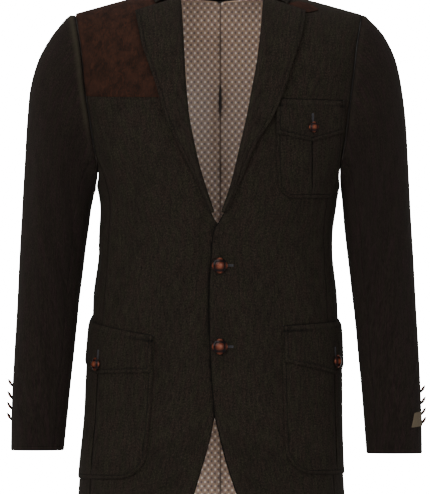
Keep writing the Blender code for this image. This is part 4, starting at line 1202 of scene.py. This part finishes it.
def ring(side, turn, row):
    """Point of a sleeve ring: turn 0 is the outer edge, pi/2 the front, pi the inner edge."""
    drop = CUFF_DROP[side] * row / SLEEVE.last
    out = np.stack([side * SLEEVE.at("out_" + WORD[side], row), SLEEVE.at("out_level", row) - drop], axis=-1)
    inn = np.stack([side * SLEEVE.at("in_" + WORD[side], row), SLEEVE.at("in_level", row) - drop], axis=-1)
    flat = (out + inn) / 2 + (out - inn) / 2 * np.cos(turn)[..., None]
    front_y, back_y = SLEEVE.at("front", row), SLEEVE.at("back", row)
    y = (front_y + back_y) / 2 - (back_y - front_y) / 2 * np.sin(turn)
    return np.stack([flat[..., 0], y, flat[..., 1]], axis=-1)


def sleeve_point(side, turn, row):
    """A ring's point, eased onto the armhole's edge over the first rows."""
    wrapped = (turn + math.pi) % (2 * math.pi) - math.pi
    start = armhole_loop(side, wrapped) + np.array([side * ARMHOLE_GAP, 0, 0])
    settle = (1 - ramp(row, 0, SETTLE_ROWS))[..., None]
    return ring(side, turn, row) + (start - ring(side, turn, np.zeros_like(row))) * settle


def sleeve_skin(side, turn, row, offset):
    """The sleeve's cloth with its folds, moved out along its normal."""
    turn, row = np.broadcast_arrays(np.asarray(turn, float), np.asarray(row, float))
    around_arm = sleeve_point(side, turn + TINY, row) - sleeve_point(side, turn - TINY, row)
    down = sleeve_point(side, turn, np.minimum(row + TINY, SLEEVE.last)) \
        - sleeve_point(side, turn, np.maximum(row - TINY, 0))
    normal = unit(np.cross(around_arm, down) * side)
    height = np.asarray(offset) + arm_folds(side, turn, row)
    return sleeve_point(side, turn, row) + normal * height[..., None]


# the roll at each sleeve's top, and the strength of the painted highlight along it
SLEEVE_HEAD = {RIGHT: (1.6, 0.5), LEFT: (1.1, 0.1)}


def sleeve_piece(node, side, start, end, width):
    """A stretch of the sleeve between two seams, each given at the armhole and at the cuff in degrees."""
    fine = np.linspace(0, SLEEVE.last, 1500)
    middle = np.full_like(fine, math.radians((start[0] + end[0]) / 2))
    length = lengths(sleeve_point(side, middle, fine)[:, None], 0)[:, 0]
    row = np.interp(lines(length[-1]), length, fine)
    share = row / SLEEVE.last
    gap = SEAM / 2 / ARM_RADIUS
    first = np.radians(start[0] + (start[1] - start[0]) * share) + gap
    last = np.radians(end[0] + (end[1] - end[0]) * share) - gap
    turn = columns(first, last, width)
    rows = np.broadcast_to(row[:, None], turn.shape)
    made, _ = cloth(node, lambda offset: sleeve_skin(side, turn, rows, offset), TWEED,
                    ("armhole", "turned", "seam", "seam"), SLEEVE_TWEED, PLAIN, head=SLEEVE_HEAD[side])


TAPE_DEEP, TAPE_REACH, TAPE_THICK = 0.6, 5.0, 0.4      # its depth under the cloth, reach past the seam, wall


def armhole_tape(side):
    """The stay tape inside an armhole: a band under the seam, from the body's edge to the sleeve's."""
    turn = np.linspace(0.02, 2 * math.pi - 0.02, 260)
    turn = np.where(turn > math.pi, turn - 2 * math.pi, turn)
    edge, start = armhole_loop(side, turn), sleeve_point(side, turn, 0.0)
    along = unit(np.gradient(edge, axis=0))
    arm_out = unit(sleeve_skin(side, turn, 0.0, 1.0) - sleeve_skin(side, turn, 0.0, 0.0))
    down = unit(sleeve_point(side, turn, 0.4) - start)
    away = unit(np.cross(along, arm_out))
    away = away * np.sign(np.sum(away * down, axis=-1, keepdims=True)) * -1
    deep = TWEED + TAPE_DEEP
    middle = np.stack([edge + TAPE_REACH * away - (deep + 0.8) * arm_out, edge - deep * arm_out,
                       start - deep * arm_out, start + TAPE_REACH * down - deep * arm_out], axis=1)
    normal = unit(np.broadcast_to(arm_out[:, None], middle.shape))
    made, _ = cloth("armhole_tape_" + WORD[side],
                    lambda offset: middle + normal * np.asarray(offset)[..., None], TAPE_THICK,
                    ("hidden",) * 4, PLAIN, PLAIN, slot="lining", replaced=False)


def sleeves():
    """Both pieces of each sleeve, and the tape inside its armhole."""
    under_end = (HIND_SEAM[0] + 360.0, HIND_SEAM[1] + 360.0)
    for side, word in WORD.items():
        sleeve_piece("top_sleeve_" + word, side, HIND_SEAM, FRONT_SEAM, 190.0)
        armhole_tape(side)
        sleeve_piece("under_sleeve_" + word, side, FRONT_SEAM, under_end, 150.0)


# ---------------------------------------------------------------- pockets

PLEAT_CREASE, PLEAT_FOLD = 1.2, 1.0      # depth of the pleat's crease, and height of the fold beside it


def pleat_angle(pocket, row):
    """Angle of a pocket's pleat on a row."""
    if "pleat_x" in pocket:
        return angle_at(pocket["pleat_x"], row)
    return math.radians(pocket["angle"]) * pocket["side"]


def swell(pocket, distance, depth):
    """How far a patch stands out: it swells between its edges and dips along its pleat."""
    half, height = pocket["width"] / 2, pocket["top"] - pocket["bottom"]
    across = np.clip(1 - (distance / half) ** 2, 0, 1)
    down = np.clip(np.sin(np.pi * np.clip(depth / height, 0, 1)), 0, 1) ** 0.6
    groove = PLEAT_DEPTH * np.clip(1 - np.abs(distance) / (1.3 * PLEAT_HALF), 0, 1)
    return (pocket["swell"] * across - groove) * down


def on_pocket(pocket, top, distance, depth, lean):
    """Angle and row at a distance from the pleat and a depth below the top line, which slopes by a share."""
    row = row_at(POCKET_X[pocket["side"]], top - pocket["slope"] * distance * lean - depth)
    return around(row, pleat_angle(pocket, row), -pocket["side"] * distance), row


def patch_place(pocket, distance, depth):
    """Angle, row and height of a point of the patch."""
    top = pocket["top"] - POCKET_BELOW_FLAP
    place = on_pocket(pocket, top, distance, depth, 1 - depth / (top - pocket["bottom"]))
    return *place, STACK + POCKET_CLOTH + swell(pocket, distance, depth + POCKET_BELOW_FLAP)


def flap_place(pocket, distance, depth):
    """Angle, row and height of a point of the flap."""
    over_patch = POCKET_CLOTH + STACK + FLAP_CLEAR + swell(pocket, distance, depth)
    high = STACK + POCKET_CLOTH + over_patch * ramp(depth, 0, POCKET_BELOW_FLAP)
    return *on_pocket(pocket, pocket["top"], distance, depth, 1.0), high


def pocket_columns(half):
    """Distances across a pocket: lines along the pleat, then even ones to the edge lines."""
    right = np.concatenate([(0.3, 0.6, 1.0, 1.6, 2.6), 4.5 + lines(half - 4.5, edges=(False, True))])
    return np.concatenate([-right[::-1], [0.0], right])


def pocket_piece(node, made_of, distance, depth, drop):
    """A patch or a flap from its grid of distances and depths."""
    angle, row, high = made_of(distance, depth)
    made, _ = cloth(node, lambda offset: skin(angle, row, high + offset), POCKET_CLOTH, drop, BODY_TWEED,
                    PLAIN)


def both_ways(half_x, half_low):
    """A line down one half of a pocket, from its side to the pleat, and up the other half."""
    return np.concatenate([half_x, -half_x[-2::-1]]), np.concatenate([half_low, half_low[-2::-1]])


def seam_run(made_of, distance, depth, sunk=0.12):
    """Topstitching on a pocket along a line of distances and depths."""
    angle, row, high = made_of(distance, depth)
    points = skin(angle, row, high)
    stitches.append(stitch_line(points, skin(angle, row, high + 1) - points, sunk))


def patch(key, node):
    """A patch pocket with rounded lower corners and a pleat down its middle."""
    pocket = POCKETS[key]
    half, corner = pocket["width"] / 2, pocket["corner"]
    height = pocket["top"] - POCKET_BELOW_FLAP - pocket["bottom"]
    depth = np.concatenate([lines(height - corner, edges=(True, False)),
                            height - corner + lines(corner, 2.2, edges=(False, True))[1:]])[:, None]
    above = np.clip(corner - (height - depth), 0, corner)
    reach = half - corner + np.sqrt(corner ** 2 - above ** 2)
    even = pocket_columns(half)
    distance = np.sign(even) * np.where(np.abs(even) < 12, np.abs(even),
                                        12 + (np.abs(even) - 12) * (reach - 12) / (half - 12))
    depth = depth + 0 * distance
    aside, low = half - np.abs(distance), height - depth
    edge = np.where((aside < corner) & (low < corner), corner - np.hypot(corner - aside, corner - low),
                    np.minimum(aside, low))
    shut = ramp(low, 2, 26)
    crease = bell(distance, 0.8) * shut
    fold = np.exp(distance / 2.6) * (distance < 0) * shut
    # painted shade along the edges, the stitches and the pleat's crease
    drop = (edge_drop(edge, "turned", True) + PLEAT_CREASE * crease - PLEAT_FOLD * fold * (1 - crease),
            edge_painted_shade(edge, "turned", True) + 1.1 * crease)

    def made_of(distance, depth):
        return patch_place(pocket, distance, depth)

    pocket_piece(node, made_of, distance, depth, drop)
    turn = np.linspace(0, math.pi / 2, 24)
    round_x = half - corner + (corner - STITCH_IN) * np.cos(turn)
    round_low = height - corner + (corner - STITCH_IN) * np.sin(turn)
    flank = np.linspace(half - corner, 0, 60)[1:]
    straight = np.linspace(0, height - corner, 60)[:-1]
    run_x = np.concatenate([np.full_like(straight, half - STITCH_IN), round_x, flank])
    run_low = np.concatenate([straight, round_low, np.full_like(flank, height - STITCH_IN)])
    seam_run(made_of, *both_ways(run_x, run_low))


FLAP_STITCH = 9.0            # the line that holds a flap down, below its top seam


def flap(key, node):
    """A flap that hangs from its sewn line to a shallow point at the pleat."""
    pocket = POCKETS[key]
    half = pocket["width"] / 2 - pocket["inset"]
    even = pocket_columns(half)
    point, side_depth = pocket["flap_point"], pocket["flap_side"]
    share = (lines(point) / point)[:, None]
    full = point + (side_depth - point) * np.abs(even) / half
    depth = share * full
    distance = even + 0 * depth
    square = math.cos(math.atan((point - side_depth) / half))
    edge = np.minimum(half - np.abs(distance), (full - depth) * square)
    held = bell(depth - FLAP_STITCH, 1.2)
    # painted shade along the edges and stitches, strong along the top seam, and along the line that holds the
    # flap down
    drop = (edge_drop(edge, "turned", True) + edge_drop(depth, "seam", False) + 0.5 * held,
            edge_painted_shade(edge, "turned", True) + edge_painted_shade(depth, "armhole", False) + 0.8 * held)

    def made_of(distance, depth):
        return flap_place(pocket, distance, depth)

    pocket_piece(node, made_of, distance, depth, drop)
    run_x = np.concatenate([np.full(30, half - STITCH_IN), np.linspace(half - STITCH_IN, 0, 50)])
    end = point + (side_depth - point) * (half - STITCH_IN) / half - STITCH_IN / square
    run_low = np.concatenate([np.linspace(2, end, 30), np.linspace(end, point - STITCH_IN / square, 50)])
    seam_run(made_of, *both_ways(run_x, run_low))
    across = np.linspace(-half + 1, half - 1, 80)
    seam_run(made_of, across, np.full_like(across, FLAP_STITCH))
    hole = pocket["top"] - pocket["button"] - FLAP_BUTTON[key][0] / 2
    buttonhole(lambda u, v: flap_place(pocket, v, hole + 3 - u), 11.0 + 3)


def buttonhole(place, long):
    """A worked buttonhole: place(u, v) gives angle, row and height along the hole and across it."""
    def worked(u, v, to_u, to_v, *sizes):
        """Stitches at places along and across the hole, each one laid towards a second place."""
        angle, row, high = place(u, v)
        points = skin(angle, row, high)
        outward = unit(skin(angle, row, high + 1) - points)
        ahead = unit(skin(*place(to_u, to_v)) - points)
        hole_stitches.append((points + 0.1 * outward, ahead, outward, *sizes))

    along = np.arange(0.4, long, 0.62)
    for across in (-0.95, 0.95):
        worked(along, np.full_like(along, across), along, np.full_like(along, across + 0.5), 1.9, 0.6, 0.5)
    across = np.arange(-1.4, 1.5, 0.55)
    worked(np.full_like(across, long + 0.3), across, np.full_like(across, long + 0.8), across, 1.6, 0.55, 0.5)


# ---------------------------------------------------------------- buttons and label

STRIPS, STRIP_DEPTH = 2.1, 0.2    # strips across a button, and a share of its size that the gaps are deep
BACK_NARROW = 0.86                # width of a button's back, as a share of its front's


def knot(name, centre, normal, size, tilt=0.0, segments=72):
    """A domed button of interlaced leather strips: a basket weave, a little over two strips across.

    In each square of the weave one strip lies on top; the leather is highest at the middle of that strip."""
    theta = np.linspace(0, 2 * math.pi, segments, endpoint=False)
    phi = np.linspace(0, math.pi, segments // 2 + 1)[1:-1]
    phi, theta = np.meshgrid(phi, theta, indexing="ij")
    out = np.minimum(phi, math.pi / 2) * 2 / math.pi
    p, q = out * np.cos(theta) * STRIPS / 2 + 0.5, out * np.sin(theta) * STRIPS / 2 + 0.5
    a, b = p - np.floor(p) - 0.5, q - np.floor(q) - 0.5
    swap = (np.floor(p) + np.floor(q)) % 2 > 0.5
    across, along = np.where(swap, a, b), np.where(swap, b, a)
    arch = 0.35 + 0.65 * np.clip(1 - (along / 0.6) ** 2, 0, 1)
    crown = np.clip(1 - (across / 0.5) ** 2, 0, 1) ** 0.5 * arch
    crown = np.where(phi > 1.9, 0.5, crown)
    narrow = np.where(np.cos(phi) < 0, BACK_NARROW, 1.0)
    radius = 1 - STRIP_DEPTH * (1 - crown) * (1 - 0.75 * ramp(phi, 0.9, 1.5))
    x = np.sin(phi) * np.cos(theta) * size[0] / 2 * narrow * radius
    y = np.sin(phi) * np.sin(theta) * size[0] / 2 * narrow * radius
    z = np.cos(phi) * size[1] / 2 * np.where(np.cos(phi) < 0, BUTTON_BACK, radius)
    grid = np.stack([x, y, z], axis=-1)
    tips = [[0, 0, size[1] / 2], [0, 0, -size[1] / 2 * BUTTON_BACK]]
    points = np.concatenate([grid.reshape(-1, 3), tips])
    turned = Quaternion((0, 1, 0), math.radians(tilt)) @ Vector(normal).to_track_quat("Z", "Y")
    points = points @ np.array(turned.to_matrix()).T + centre
    rows = len(grid)
    number = np.arange(rows * segments).reshape(rows, segments)
    after = np.roll(number, -1, axis=1)
    faces = quads(number[:-1], number[1:], after[1:], after[:-1]).tolist()
    top, low = rows * segments, rows * segments + 1
    faces += [(top, int(a), int(b)) for a, b in zip(number[0], after[0])]
    faces += [(low, int(b), int(a)) for a, b in zip(number[-1], after[-1])]
    mesh = new_mesh(name, points, faces)
    values = np.concatenate([crown.ravel(), [1.0, 0.5]]).astype(np.float32)
    mesh.attributes.new("crown", "FLOAT", "POINT").data.foreach_set("value", values)
    mesh.shade_smooth()
    mesh.materials.append(LEATHER)
    finish_piece(link(name, mesh), name, "leather")


def seat(size):
    """Height of a button's middle over the cloth it lies on."""
    return size[1] / 2 * BUTTON_BACK + BUTTON_CLEAR


def buttons():
    """The front buttons with their holes, those of the flaps, and the cuffs'."""
    for name, z in FRONT_BUTTONS.items():
        low = front_point(BUTTON_X, z, 0.0)
        normal = front_point(BUTTON_X, z, 1.0) - low
        knot(name, low + normal * seat(FRONT_BUTTON), normal, FRONT_BUTTON)
        buttonhole(lambda u, v, z=z: front_place(BUTTON_X + 5 + u, z + v), 14.5)
    for key, pocket in POCKETS.items():
        angle, row, high = flap_place(pocket, 0.0, pocket["top"] - pocket["button"])
        low = skin(angle, row, high)
        normal = skin(angle, row, high + 1) - low
        word, _, rest = key.partition("_")
        knot(word + "_button" + ("_" + rest if rest else ""), low + normal * seat(FLAP_BUTTON[key]), normal,
             FLAP_BUTTON[key])
    turn = np.array(math.radians(CUFF_BUTTON_ANGLE))
    for side, word in WORD.items():
        for number, level in enumerate(CUFF_BUTTON_LEVELS[side], start=1):
            row = np.array(SLEEVE.row_of("out_level", level))
            low = sleeve_skin(side, turn, row, 0.0)
            normal = sleeve_skin(side, turn, row, 1.0) - low
            knot(f"cuff_button_{word}_{number}", low + normal * CUFF_BUTTON_HEIGHT, normal, CUFF_BUTTON,
                 side * CUFF_BUTTON_TILT, 40)


def front_place(x, z):
    """Angle, row and height of the skin at a front-view position."""
    row = row_at(x, z)
    return angle_at(x, row), row, np.zeros(np.shape(row))


# its heights, its two sides at the top and the bottom in degrees forward of the outer edge, and the heights
# of its faces over the sleeve
LABEL = dict(top=-630.0, bottom=-652.0, start=(14.0, 5.0), end=(43.0, 52.0), outer=0.9, inner=0.1)


def cuff_label():
    """A small bare woven label on the left cuff."""
    row = SLEEVE.row_of("out_level", np.linspace(LABEL["top"], LABEL["bottom"], 24))
    start, end = (np.linspace(*LABEL[key], 24)[:, None] for key in ("start", "end"))
    turns = np.radians(start + (end - start) * np.linspace(0, 1, 30))
    rows = np.broadcast_to(row[:, None], turns.shape)
    made, _ = cloth("cuff_label", lambda offset: sleeve_skin(LEFT, turns, rows, LABEL["outer"] + offset),
                    LABEL["outer"] - LABEL["inner"], ("hidden",) * 4, LABEL_CLOTH,
                    LABEL_CLOTH, slot="label")


for body_side in WORD:
    front(body_side)
    side_panel(body_side)
    back(body_side)
    back_lining(body_side)
    lapel(body_side)
collar()
gun_patch()
throat_tab()
sleeves()
for pocket_key, pocket_node, flap_node in (("breast", "breast_pocket", "breast_flap"),
                                           ("hip_right", "hip_pocket_right", "hip_flap_right"),
                                           ("hip_left", "hip_pocket_left", "hip_flap_left")):
    patch(pocket_key, pocket_node)
    flap(pocket_key, flap_node)
buttons()
cuff_label()
spindles("topstitching", stitches, THREAD)
spindles("buttonhole_stitching", hole_stitches, HOLE_THREAD)

# ---------------------------------------------------------------- stage

CENTRE = Vector((-0.006, 0.0, -0.3885))      # what the camera looks at
DISTANCE = 16.0              # far off, as the photograph is nearly free of perspective
HEIGHT = 0.741               # height of the picture at the jacket
FLOOR_HALF, FLOOR_LEVEL = 9000.0, -1450.0
SEEN_WORLD, WORLD_LIGHT = 19.0, 0.85    # the white seen behind the jacket, over the light that falls on it
# soft lamps: name, place, size in metres, power in watts, all turned to the jacket
LAMPS = [
    ("key", (-1.7, -3.1, 1.4), 2.8, 130),
    ("fill", (0.9, -3.9, 0.0), 1.6, 46),
    ("top", (0.0, -0.4, 2.6), 1.6, 40),
]

camera = link("camera", bpy.data.cameras.new("camera"))
camera.data.lens = camera.data.sensor_width * DISTANCE / HEIGHT
camera.location = CENTRE + Vector((0, -DISTANCE, 0))
camera.rotation_euler = (math.pi / 2, 0, 0)
camera.data.clip_end = 100
bpy.context.scene.camera = camera

corners = [(x * FLOOR_HALF, y * FLOOR_HALF, FLOOR_LEVEL) for x, y in ((-1, -1), (1, -1), (1, 1), (-1, 1))]
floor = add_mesh("floor", np.array(corners), np.array([(0, 1, 2, 3)]))
paper = material("paper", 0.9)
paper[2].inputs["Base Color"].default_value = (0.8, 0.8, 0.8, 1)
floor.data.materials.append(paper[0])

world = bpy.data.worlds.new("studio")
bpy.context.scene.world = world
world.use_nodes = True
tree = world.node_tree
lit = tree.nodes["Background"]
lit.inputs["Color"].default_value = (1, 1, 1, 1)
seen = add(tree, "LightPath").outputs["Is Camera Ray"]
strength = maths(tree, "ADD", maths(tree, "MULTIPLY", seen, SEEN_WORLD), WORLD_LIGHT)
tree.links.new(strength, lit.inputs["Strength"])

for lamp_name, lamp_place, lamp_size, lamp_power in LAMPS:
    lamp = bpy.data.lights.new(lamp_name, "AREA")
    lamp.size = lamp_size
    lamp.energy = lamp_power
    holder = link(lamp_name, lamp)
    holder.location = lamp_place
    holder.rotation_euler = (CENTRE - Vector(lamp_place)).to_track_quat("-Z", "Y").to_euler()
